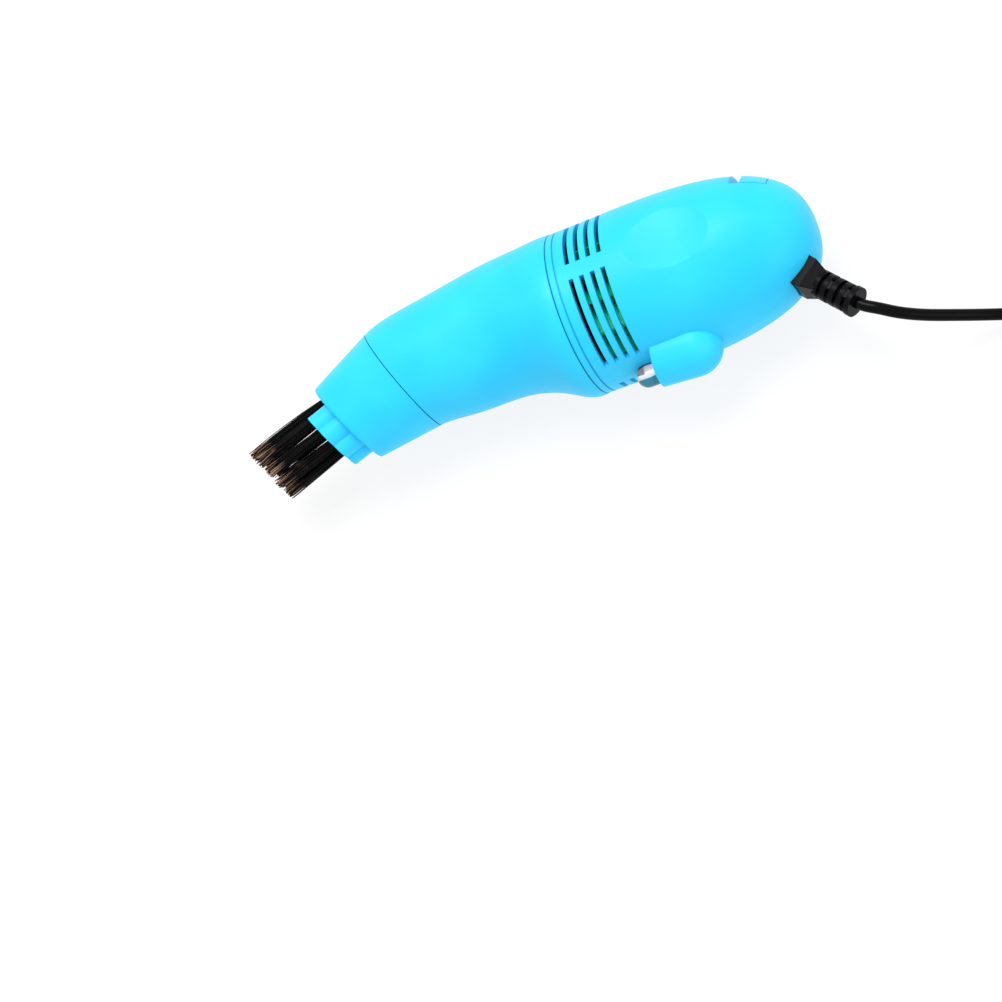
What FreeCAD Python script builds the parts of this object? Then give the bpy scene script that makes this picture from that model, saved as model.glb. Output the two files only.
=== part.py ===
"""Desktop mini vacuum cleaner with a brush head, a lamp and a USB cord.

All lengths are millimetres and all angles degrees. While it is modelled, X runs along the
housing's axis from the nozzle to the tail, Y runs across it from the lamp to the switch and
Z points up. X = 0 is the joint of housing and snout, and the housing's two shells part on
the plane Z = 0. The finished part is moved so that it stands on Z = 0, centred in X and Y.
"""

import FreeCAD, Part
import math
import os

Vector = FreeCAD.Vector

# Shared clearances.
OVERRUN = 3.0  # how far a cut runs past the faces that it leaves
SEAT_GAP = 0.12  # between fixed pieces that sit in each other
PUSH_GAP = 0.1  # radial room of a push fit that is pulled off by hand
RUN_GAP = 0.04  # radial room of the shaft in its bushes
MOVE_GAP = 0.35  # between pieces that move past each other
LINE_GAP = 0.25  # the visible joint line between two bodies

# Housing: a round body with an egg-shaped tail.
BODY_RADIUS = 25.0
RIM_SETBACK = 0.1  # how much narrower it is at the joint with the snout
CROWN_X = 20.0  # where the body is widest and the tail begins
TAIL_LENGTH = 54.2  # from there to the tip
TAIL_EXPONENT_SHARE = 2.63  # 2 would be an ellipse, more is boxier
TAIL_STEPS = 9
WALL = 1.8
FLANGE_THICK = 2.0  # the solid ring behind the joint
GROOVE_X = 2.0
GROOVE_WIDTH = 0.4
GROOVE_DEPTH = 0.35
SPIGOT_LENGTH = 3.2
SPIGOT_WALL = 1.5

# Vent slots, in two rows of each shell.
SLOT_COUNT = 4
SLOT_PITCH = 3.33
SLOT_WIDTH = 1.4
FIRST_SLOT_X = 6.3
SLOT_FROM = 5.8  # degrees from the shell's crown
SLOT_TO = 72.0
LOWER_SLOT_TO = 83.0  # in the lower shell

# Thumb dish in each shell.
DISH_X = 39.5
DISH_LENGTH = 28.5
DISH_WIDTH = 18.0
DISH_DEPTH = 2.0
DISH_PAD = 1.5  # wall left under the dish

# Lamp housing along the seam.
LAMP_RADIUS = 8.7
LAMP_FRONT_X = 19.6
LAMP_FRONT_TILT = 8.0  # of the flat front, which leans ahead away from the body
LAMP_REAR_X = 30.6  # centre of the round rear end
LAMP_FRONT_SINK = 2.1  # of the lamp housing's axis in the body, at the front
LAMP_REAR_SINK = 1.2
LAMP_WALL = 1.2
BULB_RADIUS = 3.3
BULB_SINK = 0.75  # in the body's surface
BULB_ROOM = 0.35  # round the bulb where it lies in the body
BULB_PROUD = 7.4  # how far the bulb stands out of the flat front
BULB_SEAT = 1.3  # how far its straight part goes back behind the front wall
BULB_FLANGE_RADIUS = 3.9
BULB_FLANGE_THICK = 1.2

# Switch pocket in the tail, and the slider that rides on its round floor.
POCKET_FROM_TIP = 18.2
POCKET_DEPTH = 8.5  # of its floor below the widest place of the body
POCKET_HALF_ANGLE = 54.0
POCKET_WALL = 1.5
SLIDER_EDGE = 0.5  # thickness at which the slider ends
SLIDER_TRAVEL = 2.2
SLIDER_BEVEL = 0.8
GRIP_COUNT = 3
GRIP_PITCH = 1.3
GRIP_WIDTH = 0.55
GRIP_DEPTH = 0.4
STEM_LENGTH = 3.0
STEM_WIDTH = 2.2
FOOT_LENGTH = 4.0
FOOT_WIDTH = 5.2
FOOT_THICK = 2.0

# Slide switch under the pocket.
SWITCH_LENGTH = 9.5
SWITCH_HEIGHT = 4.6
SWITCH_WIDTH = 6.6
LEVER_SIDE = 2.0
LEVER_RISE = 2.9
PIN_LENGTH = 3.2
PIN_THICK = 0.5
PIN_PITCH = 3.0
POST_LENGTH = 6.0
POST_HEIGHT = 3.0

# Casing screws, with their places in X and Y.
SCREW_PLACES_SHARE = ((0.374, 0.712), (0.56, -0.712), (0.92, -0.08))  # of tail tip and radius
BOSS_RADIUS = 3.6
SCREW_SHANK_RADIUS = 1.1
SCREW_HEAD_RADIUS = 2.5
SCREW_HEAD_THICK = 1.8
SCREW_REACH = 8.0  # past the parting plane
SCREW_HEAD_DEPTH = 9.0  # from the parting plane to the seat of the head
CROSS_WIDTH = 0.6
CROSS_DEPTH = 0.9

# Snout: centre, radius and tilt of its round sections, from the joint to the head.
SNOUT_LENGTH = 58.8
SNOUT_WALL = 1.6
SNOUT_SHARES = (  # along the length, offset and radius as shares of the radius, tilt
    (0.0, 0.0, 1.0, 0.0),
    (0.06, 0.003, 1.007, 0.2),
    (0.13, 0.031, 0.976, 1.4),
    (0.2, 0.071, 0.931, 2.8),
    (0.3, 0.116, 0.882, 5.0),
    (0.44, 0.137, 0.835, 8.5),
    (0.6, 0.115, 0.805, 12.5),
    (0.8, 0.082, 0.778, 17.5),
    (1.0, 0.024, 0.719, 22.5),
)
SOCKET_DEPTH = 3.5
SOCKET_GAP = 0.12
SOCKET_WALL = 2.63
SNOUT_PULL = 40.0

# Brush head: a skewed collar from the snout's front face to its own, which leans further.
HEAD_LENGTH = 21.9  # between the middles of the two faces
HEAD_LEAN = 20.0  # of the line between them, of the tufts and of the lobes
FACE_LEAN = 28.0  # of the front face
HEAD_FRONT_RADIUS = 14.4
HEAD_WALL = 1.5
HEAD_EDGE = 0.8
SLEEVE_LENGTH = 4.5
SLEEVE_WALL = 1.4
HEAD_PULL = 15.0
PLATE_THICK = 2.6
MOUTH_RADIUS = 5.9
MOUTH_OFFSET = 2.3  # of mouth and tufts from the middle of the face, towards the switch side
TUFT_COUNT = 10
TUFT_RING_RADIUS = 7.8
TUFT_ROOT_RADIUS = 1.3
TUFT_TIP_RADIUS = 1.6
TUFT_SEAT = 2.0
TUFT_LENGTH = 29.3  # past the head's front
LOBE_COUNT = 5
LOBE_FROM = -24.0  # degrees from the crown towards the lamp side
LOBE_CROWN_RADIUS = 11.6
LOBE_VALLEY_RADIUS = 10.5
LOBE_WALL = 0.8
LOBE_LENGTH = 7.0

# Filter: a ring with a ribbed dome that carries the cloth.
FILTER_RING_THICK = 2.2
FILTER_RING_SETBACK = 0.4
FILTER_RING_WALL = 2.4
DOME_HEIGHT = 12.4
DOME_RIB = 1.3
CLOTH_THICK = 0.6

# Fan side of the housing.
INLET_THICK = 1.5
INLET_HOLE_RADIUS = 9.0
INLET_LIP = 1.2
GUARD_WIDTH = 1.2
RIB_HEIGHT = 1.4
RIB_WIDTH = 1.0
FAN_GAP = 3.9  # between fan and wall
FAN_ROOM = 0.68  # between inlet and fan
FAN_DISC_X = 15.5
FAN_DISC_THICK = 1.1
FAN_HUB_RADIUS = 4.2
BLADE_COUNT = 12
BLADE_THICK = 0.9
BLADE_ROOT_RADIUS = 8.6
BLADE_SWEEP = 24.0
BLADE_SWEEP_SHARES = (0, 0.36, 1)  # of the sweep, at root, middle and tip
BULKHEAD_ROOM = 1.95  # between fan and bulkhead
BULKHEAD_THICK = 1.7
COLLAR_LENGTH = 7.0
COLLAR_WALL = 1.5

# Motor.
MOTOR_RADIUS = 12.0
MOTOR_LENGTH = 27.8
CAN_WALL = 0.8
BOSS_TUBE_RADIUS = 3.0
BOSS_TUBE_LENGTH = 1.4
SHAFT_RADIUS = 1.0
BUSH_RADIUS = 2.3
BUSH_LENGTH = 2.4
MAGNET_THICK = 1.7
MAGNET_LENGTH = 18.0
MAGNET_HALF_ANGLE = 62.0
CORE_RADIUS = 8.9
CORE_LENGTH = 15.0
CORE_HUB_RADIUS = 2.6
POLE_COUNT = 3
POLE_WIDTH = 2.6
SHOE_THICK = 1.2
SHOE_HALF_ANGLE = 50.0
WINDING_THICK = 1.5
COMMUTATOR_RADIUS = 2.6
COMMUTATOR_LENGTH = 3.0
SEGMENT_SLOT = 0.3
LEAF_THICK = 0.3
LEAF_WIDTH = 2.4
LEAF_LENGTH = 8.0
END_CAP_THICK = 2.2
END_BOSS_RADIUS = 3.4
END_BOSS_LENGTH = 1.8
TAB_THICK = 0.4
TAB_WIDTH = 2.4
TAB_LENGTH = 4.0
TAB_REACH = 7.0
CAPACITOR_RADIUS = 2.4
CAPACITOR_THICK = 1.7
LEAD_RADIUS = 0.3
LEAD_LENGTH = 5.0  # behind the bulb
MOTOR_SCREW_REACH = 7.6
MOTOR_SCREW_RADIUS = 0.9
MOTOR_SCREW_HEAD_RADIUS = 1.8
MOTOR_SCREW_HEAD_THICK = 0.9
CRADLE_X = 37.6
CRADLE_THICK = 1.6
CRADLE_HALF_ANGLE = 20.0

# Strain relief on the tail's seam.
RELIEF_FROM_TIP = 6.3
RELIEF_PROUD = 0.3  # of the surface
RELIEF_ANGLE = -49.2  # from the housing's axis, towards the lamp side
RELIEF_SIDE = 9.4
RELIEF_FOOT = 1.1
RELIEF_TAPER_END = 5.2
RELIEF_TAPER_SIDE = 6.6
RELIEF_LENGTH = 17.2
RELIEF_RING_RADIUS = 4.2
RELIEF_END_RADIUS = 4.5
RELIEF_CORE_RADIUS = 2.7
RELIEF_RING_COUNT = 4
RELIEF_RING_THICK = 1.65
RELIEF_BRIDGE = 2.6
BRIDGE_LONG_SHARE = 0.95  # of the rings' radius
RELIEF_NECK = 4.3
RELIEF_FLANGE_SIDE = 11.4
RELIEF_FLANGE_THICK = 1.3

# Cord, with its route in X, Y and Z and the coil in which its spare length lies.
CORD_RADIUS = 1.75
FLOOR_CLEARANCE = 0.03
BEND_REACH_SHARE = 0.45  # how far an arc reaches along the shorter run beside its corner
RELIEF_RUN = 2.0  # straight run out of the strain relief
COIL_RUN = 6.5  # straight run beside each end of the coil
PLUG_RUN = 6.0  # straight run into the plug
LEAD_BENDS = (
    (84.5, -32.4, -0.7),
    (88.9, -34.6, -3.0),
    (94.8, -36.0, -6.9),
    (101.3, -36.9, -10.8),
    (111.0, -37.9, -17.0),
    (120.8, -39.6, -21.0),
    (131.0, -41.0, -22.7),
    (140.5, -41.1, -23.1),
)
COIL_CENTRE_X = 158.0
COIL_CENTRE_Y = -16.6
COIL_MEAN_RADIUS = 20.0
COIL_PITCH = 4.1  # from turn to turn and from layer to layer
COIL_LAYERS = 4
TURNS_PER_LAYER = 2
LAYER_RISE_SHARE = 1.5  # steepness half way up to the next layer
GAP_TEST_STEPS = 6  # cord radii between two points of the coil that are compared
END_BENDS = (
    (177.4, -40.3, -13.3),
    (187.0, -37.2, -16.9),
    (193.9, -31.3, -19.9),
)

# USB plug.
PLUG_X = 197.5
PLUG_REAR_Y = -17.8
PLUG_NECK_RADIUS = 2.9
PLUG_NECK_LENGTH = 7.0
PLUG_WIDTH = 15.6
PLUG_HEIGHT = 8.0
PLUG_LENGTH = 22.0
PLUG_EDGE = 1.6
SHELL_WIDTH = 12.0
SHELL_HEIGHT = 4.5
SHELL_LENGTH = 12.5
SHELL_WALL = 0.35
SHELL_SEAT = 6.0
WINDOW_SIDE = 2.2
WINDOW_REACH = 2.9
WINDOW_FROM_TIP = 7.6
TONGUE_THICK = 1.9
TONGUE_SETBACK = 0.5
CONTACT_WIDTH = 1.1
CONTACT_THICK = 0.25
CONTACT_LENGTH = 8.4
CONTACT_REACH_SHARES = (-0.7, -0.2, 0.2, 0.7)

# Wires inside the housing.
WIRE_RADIUS = 0.6
WIRE_RUN = 3.0  # how far a wire runs straight from what it leaves

# Sizes that follow from the ones above.
TAIL_X = CROWN_X + TAIL_LENGTH
INNER_RADIUS = BODY_RADIUS - WALL
RIM_RADIUS = BODY_RADIUS - RIM_SETBACK
SNOUT_RADIUS = RIM_RADIUS
SPIGOT_RADIUS = RIM_RADIUS - SOCKET_WALL - SOCKET_GAP
LAMP_FRONT_REACH = BODY_RADIUS - LAMP_FRONT_SINK
LAMP_REAR_REACH = BODY_RADIUS - LAMP_REAR_SINK
BULB_REACH = BODY_RADIUS - BULB_SINK + BULB_RADIUS
POCKET_X = TAIL_X - POCKET_FROM_TIP
POCKET_FLOOR_RADIUS = BODY_RADIUS - POCKET_DEPTH
SLIDER_FRONT_X = POCKET_X + MOVE_GAP + SLIDER_TRAVEL
SLIDER_TAIL_RADIUS = POCKET_FLOOR_RADIUS + SLIDER_EDGE
RELIEF_X = TAIL_X - RELIEF_FROM_TIP
FAN_RADIUS = INNER_RADIUS - FAN_GAP
FAN_FRONT_X = FLANGE_THICK + SEAT_GAP + INLET_THICK + INLET_LIP + FAN_ROOM
BULKHEAD_X = FAN_DISC_X + FAN_DISC_THICK + BULKHEAD_ROOM
LOBE_PITCH = 360.0 / TUFT_COUNT
MOTOR_X = BULKHEAD_X + BULKHEAD_THICK + SEAT_GAP
MOTOR_END_X = MOTOR_X + MOTOR_LENGTH
SWITCH_CENTRE_X = SLIDER_FRONT_X + STEM_LENGTH + SWITCH_LENGTH / 6
FLOOR_RADIUS_UNDER = POCKET_FLOOR_RADIUS - POCKET_WALL
FOOT_TOP = math.sqrt(FLOOR_RADIUS_UNDER**2 - (FOOT_WIDTH / 2) ** 2) - SEAT_GAP
SWITCH_TOP = FOOT_TOP - FOOT_THICK - LEVER_RISE + LEVER_SIDE / 2
FLOOR_Z = -BODY_RADIUS + CORD_RADIUS + FLOOR_CLEARANCE
PLUG_Z = -BODY_RADIUS + PLUG_HEIGHT / 2 + FLOOR_CLEARANCE
COIL_TURNS = COIL_LAYERS * TURNS_PER_LAYER
COIL_OUTER_RADIUS = COIL_MEAN_RADIUS + COIL_PITCH * TURNS_PER_LAYER / 2
COIL_TOP_Z = FLOOR_Z + COIL_PITCH * (COIL_LAYERS - 1)
CORD_NODES = (
    "cord_lead",
    "cord_coil",
    "cord_end",
    "plug_overmould",
    "plug_shell",
    "plug_insulator",
    "plug_contacts",
)

AXIS = Vector(1, 0, 0)
UP = Vector(0, 0, 1)


def rod(radius, x_from, x_to, y=0, z=0):
    """A cylinder along X between two places."""
    return Part.makeCylinder(radius, x_to - x_from, Vector(x_from, y, z), AXIS)


def pipe(outer, inner, x_from, x_to, y=0, z=0):
    """A tube along X."""
    return rod(outer, x_from, x_to, y, z).cut(rod(inner, x_from - OVERRUN, x_to + OVERRUN, y, z))


def block(x_from, x_to, y_from, y_to, z_from, z_to):
    """A box between two corners."""
    return Part.makeBox(x_to - x_from, y_to - y_from, z_to - z_from, Vector(x_from, y_from, z_from))


def sector(x_from, x_to, inner, outer, angle_from, angle_to):
    """A ring sector about the X axis; its angles run from +Z towards the lamp side."""
    corners = ((x_from, inner), (x_to, inner), (x_to, outer), (x_from, outer), (x_from, inner))
    face = Part.Face(Part.makePolygon([Vector(x, 0, radius) for x, radius in corners]))
    face.rotate(Vector(0, 0, 0), AXIS, angle_from)
    return face.revolve(Vector(0, 0, 0), AXIS, angle_to - angle_from)


def turned(edges):
    """The solid that a closed outline in X and Y makes about the X axis, with its seam below."""
    face = Part.Face(Part.Wire(edges))
    face.rotate(Vector(0, 0, 0), AXIS, -90)
    return face.revolve(Vector(0, 0, 0), AXIS, 360)


def lines(points):
    """Straight edges through (x, y) points, closed."""
    corners = [Vector(x, y, 0) for x, y in points]
    return Part.makePolygon(corners + corners[:1]).Edges


def joined(pieces):
    """Several touching solids as one."""
    return pieces[0].multiFuse(pieces[1:]).removeSplitter()


def moved(shape, angle, place):
    """A copy turned about Z and then shifted."""
    copy = shape.copy()
    copy.rotate(Vector(0, 0, 0), UP, angle)
    copy.translate(place)
    return copy


def tail_radius(x):
    """The housing's outer radius at a place on its tail."""
    share = (x - CROWN_X) / TAIL_LENGTH
    return BODY_RADIUS * (1 - share**TAIL_EXPONENT_SHARE) ** (1 / TAIL_EXPONENT_SHARE)


def tail_place(radius):
    """The place on the tail that has this outer radius."""
    share = radius / BODY_RADIUS
    return CROWN_X + TAIL_LENGTH * (1 - share**TAIL_EXPONENT_SHARE) ** (1 / TAIL_EXPONENT_SHARE)


def housing_form(inset, front):
    """The housing's round form, drawn in by inset, from front to the tail."""
    radius = BODY_RADIUS - inset
    length = TAIL_LENGTH - inset
    power = 2 / TAIL_EXPONENT_SHARE
    points = []
    for step in range(TAIL_STEPS + 1):
        angle = math.radians(90 - 90 * step / TAIL_STEPS)
        along = max(math.cos(angle), 0) ** power
        points.append(Vector(CROWN_X + length * along, radius * max(math.sin(angle), 0) ** power, 0))
    points[-1] = Vector(CROWN_X + length, 0, 0)
    curve = Part.BSplineCurve()
    curve.interpolate(Points=points, InitialTangent=Vector(1, 0, 0), FinalTangent=Vector(0, -1, 0))
    rim = front_radius(front) - inset
    start = Vector(front, 0, 0)
    shoulder = Vector(front, rim, 0)
    edges = [
        Part.LineSegment(start, shoulder).toShape(),
        Part.LineSegment(shoulder, points[0]).toShape(),
        curve.toShape(),
        Part.LineSegment(points[-1], start).toShape(),
    ]
    return turned(edges)


def lamp_form(inset):
    """The lamp housing: a tilted cylinder with a flat front and a round rear end."""
    rear = Vector(LAMP_REAR_X, -LAMP_REAR_REACH, 0)
    front = Vector(LAMP_FRONT_X, -LAMP_FRONT_REACH, 0)
    direction = (front - rear).normalize()
    length = (front - rear).Length + OVERRUN
    radius = LAMP_RADIUS - inset
    capsule = Part.makeCylinder(radius, length, rear, direction).fuse(Part.makeSphere(radius, rear))
    side = 2 * BODY_RADIUS
    ahead = block(-side, inset, -side, side, -side, side)
    return capsule.cut(moved(ahead, -LAMP_FRONT_TILT, Vector(LAMP_FRONT_X, -BODY_RADIUS, 0)))


def bulb_form(grown):
    """The bulb without its collar, grown by a clearance."""
    straight = LAMP_FRONT_X - BULB_PROUD + BULB_RADIUS
    back = LAMP_FRONT_X + LAMP_WALL + SEAT_GAP + BULB_SEAT
    dome = Part.makeSphere(BULB_RADIUS + grown, Vector(straight, -BULB_REACH, 0))
    return rod(BULB_RADIUS + grown, straight, back, -BULB_REACH).fuse(dome)


def dish_form(side, pad):
    """The ring whose outside presses a thumb dish into one shell, grown by pad."""
    curve_x = (DISH_LENGTH / 2) ** 2 / (2 * DISH_DEPTH)
    curve_y = 1 / (2 * DISH_DEPTH / (DISH_WIDTH / 2) ** 2 - 1 / tail_radius(DISH_X))
    bottom = tail_radius(DISH_X) - DISH_DEPTH
    centre = Vector(DISH_X, 0, side * (bottom + curve_y))
    return Part.makeTorus(curve_y - curve_x, curve_x + pad, centre, AXIS)


def pocket_form(grown):
    """The room of the switch pocket, grown by a wall."""
    spread = math.degrees(grown / POCKET_FLOOR_RADIUS)
    half = POCKET_HALF_ANGLE + spread
    x_to = tail_place(POCKET_FLOOR_RADIUS) + OVERRUN + grown
    floor = POCKET_FLOOR_RADIUS - grown
    return sector(POCKET_X - grown, x_to, floor, BODY_RADIUS + OVERRUN, -90 - half, -90 + half)


def vent_slots():
    """Every slot of the four vent rows."""
    cuts = []
    rows = []
    for crown, end in ((0, SLOT_TO), (180, LOWER_SLOT_TO)):
        rows += [(crown + SLOT_FROM, crown + end), (crown - end, crown - SLOT_FROM)]
    for index in range(SLOT_COUNT):
        x = FIRST_SLOT_X + SLOT_PITCH * index - SLOT_WIDTH / 2
        for start, end in rows:
            span = (INNER_RADIUS - OVERRUN, BODY_RADIUS + OVERRUN, start, end)
            cuts.append(sector(x, x + SLOT_WIDTH, *span))
    return cuts


def front_radius(x):
    """The housing's outer radius between the joint and the crown."""
    return RIM_RADIUS + (BODY_RADIUS - RIM_RADIUS) * x / CROWN_X


def outer_radius(x):
    """The housing's outer radius at any place."""
    return front_radius(x) if x < CROWN_X else tail_radius(x)


def wall_radius(x_from, x_to):
    """The least inner radius of the housing between two places."""
    return min(outer_radius(x_from), outer_radius(x_to)) - WALL


def relief_origin():
    """Where the strain relief's axis leaves the tail."""
    return Vector(RELIEF_X, -tail_radius(RELIEF_X) - RELIEF_PROUD, 0)


def relief_place(shape):
    """A copy of something built along X, set on the strain relief's axis."""
    return moved(shape, RELIEF_ANGLE, relief_origin())


def screw_places():
    """Where the casing screws stand, in X and Y."""
    return [(TAIL_X * along, BODY_RADIUS * across) for along, across in SCREW_PLACES_SHARE]


def plain_casing():
    """Both shells in one, with everything that is alike on either side of the seam."""
    outer = housing_form(0, 0).fuse(lamp_form(0))
    hollow = housing_form(WALL, FLANGE_THICK).cut([dish_form(1, DISH_PAD), dish_form(-1, DISH_PAD)])
    hollow = hollow.cut(pocket_form(POCKET_WALL)).fuse(lamp_form(LAMP_WALL))
    spigot_inner = SPIGOT_RADIUS - SPIGOT_WALL
    body = outer.cut(hollow).cut(rod(spigot_inner, -OVERRUN, FLANGE_THICK + OVERRUN))
    ribs = [pipe(SPIGOT_RADIUS, spigot_inner, -SPIGOT_LENGTH, FLANGE_THICK / 2)]
    behind_inlet = FLANGE_THICK + SEAT_GAP + INLET_THICK + SEAT_GAP
    before_bulkhead = BULKHEAD_X - SEAT_GAP - RIB_WIDTH
    for x in (behind_inlet, before_bulkhead, MOTOR_X):
        inner = wall_radius(x, x + RIB_WIDTH)
        ribs.append(pipe(inner + WALL / 4, inner - RIB_HEIGHT, x, x + RIB_WIDTH))
    for crown in (0, 180):
        ends = (crown - CRADLE_HALF_ANGLE, crown + CRADLE_HALF_ANGLE)
        cradle_top = tail_radius(CRADLE_X + CRADLE_THICK) - WALL / 2
        inner = MOTOR_RADIUS + SEAT_GAP
        ribs.append(sector(CRADLE_X, CRADLE_X + CRADLE_THICK, inner, cradle_top, *ends))
    body = body.fuse(ribs)
    bulb_hole = bulb_form(SEAT_GAP).fuse(bulb_form(BULB_ROOM).cut(lamp_form(0)))
    groove = pipe(BODY_RADIUS + OVERRUN, RIM_RADIUS - GROOVE_DEPTH, GROOVE_X, GROOVE_X + GROOVE_WIDTH)
    hole = RELIEF_SIDE / 2 + SEAT_GAP
    relief_hole = relief_place(block(-RELIEF_NECK - OVERRUN, OVERRUN, -hole, hole, -hole, hole))
    slot_from = SLIDER_FRONT_X + STEM_LENGTH - SLIDER_TRAVEL - MOVE_GAP
    slot_to = SLIDER_FRONT_X + 2 * STEM_LENGTH + MOVE_GAP
    slot_half = STEM_WIDTH / 2 + MOVE_GAP / 2
    stem_slot = block(slot_from, slot_to, FLOOR_RADIUS_UNDER - OVERRUN, BODY_RADIUS, -slot_half, slot_half)
    cuts = [dish_form(1, 0), dish_form(-1, 0), pocket_form(0), bulb_hole, groove, relief_hole, stem_slot]
    return body.cut(cuts + vent_slots())


def switch_post(side):
    """The post of one shell that holds the slide switch from the side."""
    half = SWITCH_WIDTH / 2 + SEAT_GAP
    z_from, z_to = sorted((side * half, side * BODY_RADIUS))
    y_to = SWITCH_TOP - SEAT_GAP
    x_from = SWITCH_CENTRE_X - POST_LENGTH / 2
    post = block(x_from, x_from + POST_LENGTH, y_to - POST_HEIGHT, y_to, z_from, z_to)
    return post.cut(pocket_form(0)).common(housing_form(WALL / 2, FLANGE_THICK))


def upper_shell(casing):
    """The shell on top, with blind bosses for the casing screws."""
    half = casing.common(block(-TAIL_X, 2 * TAIL_X, -TAIL_X, TAIL_X, 0, TAIL_X))
    limit = housing_form(WALL / 2, FLANGE_THICK)
    bosses = []
    for x, y in screw_places():
        boss = Part.makeCylinder(BOSS_RADIUS, BODY_RADIUS, Vector(x, y, 0), UP)
        bosses.append(boss.common(limit))
    half = half.fuse(bosses + [switch_post(1)])
    holes = []
    for x, y in screw_places():
        radius = SCREW_SHANK_RADIUS + PUSH_GAP / 2
        depth = SCREW_REACH + SEAT_GAP + OVERRUN
        holes.append(Part.makeCylinder(radius, depth, Vector(x, y, -OVERRUN), UP))
    return half.cut(holes)


def lower_shell(casing):
    """The shell below, with counterbored bosses."""
    half = casing.common(block(-TAIL_X, 2 * TAIL_X, -TAIL_X, TAIL_X, -TAIL_X, 0))
    limit = housing_form(WALL / 2, FLANGE_THICK)
    bosses = []
    holes = []
    down = Vector(0, 0, -1)
    for x, y in screw_places():
        bosses.append(Part.makeCylinder(BOSS_RADIUS, BODY_RADIUS, Vector(x, y, 0), down).common(limit))
        radius = SCREW_SHANK_RADIUS + PUSH_GAP
        holes.append(Part.makeCylinder(radius, BODY_RADIUS, Vector(x, y, OVERRUN), down))
        seat = Vector(x, y, -SCREW_HEAD_DEPTH)
        holes.append(Part.makeCylinder(SCREW_HEAD_RADIUS + SEAT_GAP, BODY_RADIUS, seat, down))
    return half.fuse(bosses + [switch_post(-1)]).cut(holes)


def casing_screws():
    """The screws that hold the two shells together."""
    screws = []
    for x, y in screw_places():
        seat = Vector(x, y, -SCREW_HEAD_DEPTH)
        shank = Part.makeCylinder(SCREW_SHANK_RADIUS, SCREW_HEAD_DEPTH + SCREW_REACH, seat, UP)
        head = Part.makeCylinder(SCREW_HEAD_RADIUS, SCREW_HEAD_THICK, seat - UP * SCREW_HEAD_THICK, UP)
        arm = SCREW_HEAD_RADIUS * 2 / 3
        low = seat.z - SCREW_HEAD_THICK
        cross = []
        for half_x, half_y in ((arm, CROSS_WIDTH / 2), (CROSS_WIDTH / 2, arm)):
            sides = (x - half_x, x + half_x, y - half_y, y + half_y)
            cross.append(block(*sides, low - OVERRUN, low + CROSS_DEPTH))
        screws.append(shank.fuse(head).cut(cross))
    return Part.makeCompound(screws)


def snout_rings(wall):
    """Centre, radius and tilt of each of the snout's sections, drawn in by wall."""
    rings = []
    for along, offset, radius, tilt in SNOUT_SHARES:
        centre = Vector(-SNOUT_LENGTH * along, SNOUT_RADIUS * offset, 0)
        rings.append((centre, SNOUT_RADIUS * radius - wall, tilt))
    return rings


def tilted_circle(centre, radius, tilt):
    """A round section across the snout, leaning by tilt."""
    circle = Part.Wire(Part.Circle(Vector(0, 0, 0), AXIS, radius).toShape())
    circle.rotate(Vector(0, 0, 0), AXIS, -90)
    return moved(circle, tilt, centre)


def head_tilt():
    """The lean of the brush head's axis."""
    return SNOUT_SHARES[-1][3]


def head_centre():
    """The middle of the joint between snout and brush head."""
    return snout_rings(0)[-1][0]


def sleeve_radius():
    """The outer radius of the sleeve that pushes into the snout."""
    return snout_rings(SNOUT_WALL)[-1][1] - PUSH_GAP


def head_place(shape):
    """A copy of something built along X, set on the axis of the brush head's sleeve."""
    return moved(shape, head_tilt(), head_centre())


def face_centre():
    """The middle of the brush head's front face."""
    lean = math.radians(HEAD_LEAN)
    return head_centre() - Vector(math.cos(lean), math.sin(lean), 0) * HEAD_LENGTH


def face_place(shape):
    """A copy of something built along X from zero, set on the brush head's front face."""
    return moved(shape, FACE_LEAN, face_centre())


def behind(centre, tilt, distance):
    """A place behind one of the brush head's faces, along that face's own axis."""
    lean = math.radians(tilt)
    return centre + Vector(math.cos(lean), math.sin(lean), 0) * distance


def reach_direction():
    """Where tufts and lobes point, seen from the front face."""
    lean = math.radians(FACE_LEAN - HEAD_LEAN)
    return Vector(-math.cos(lean), math.sin(lean), 0)


def snout_shell():
    """The curved nozzle body that pushes onto the housing's spigot."""
    outer = Part.makeLoft([tilted_circle(*ring) for ring in snout_rings(0)], True, False)
    bore_radius = sleeve_radius() + PUSH_GAP
    bore_depth = SLEEVE_LENGTH + SEAT_GAP
    lean = math.radians(head_tilt())
    bore_end = head_centre() + Vector(math.cos(lean), math.sin(lean), 0) * bore_depth
    rings = snout_rings(SNOUT_WALL)[3:-1]
    mouth = SPIGOT_RADIUS - 2 * SNOUT_WALL / 3
    first = rings[0]
    back = [(Vector(-SOCKET_DEPTH + OVERRUN, 0, 0), mouth, 0), (Vector(-SOCKET_DEPTH, 0, 0), mouth, 0)]
    between = Vector((first[0].x - SOCKET_DEPTH) / 2, first[0].y / 2, 0)
    back.append((between, (mouth + first[1]) / 2, first[2] / 2))
    sections = back + rings + [(bore_end, bore_radius, head_tilt())]
    inner = Part.makeLoft([tilted_circle(*ring) for ring in sections], True, False)
    bore = head_place(rod(bore_radius, -OVERRUN, bore_depth))
    socket = rod(SPIGOT_RADIUS + SOCKET_GAP, -SOCKET_DEPTH, OVERRUN)
    face = block(-LINE_GAP, OVERRUN, -2 * BODY_RADIUS, 2 * BODY_RADIUS, -2 * BODY_RADIUS, 2 * BODY_RADIUS)
    return outer.cut([inner, bore, socket, face])


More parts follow.
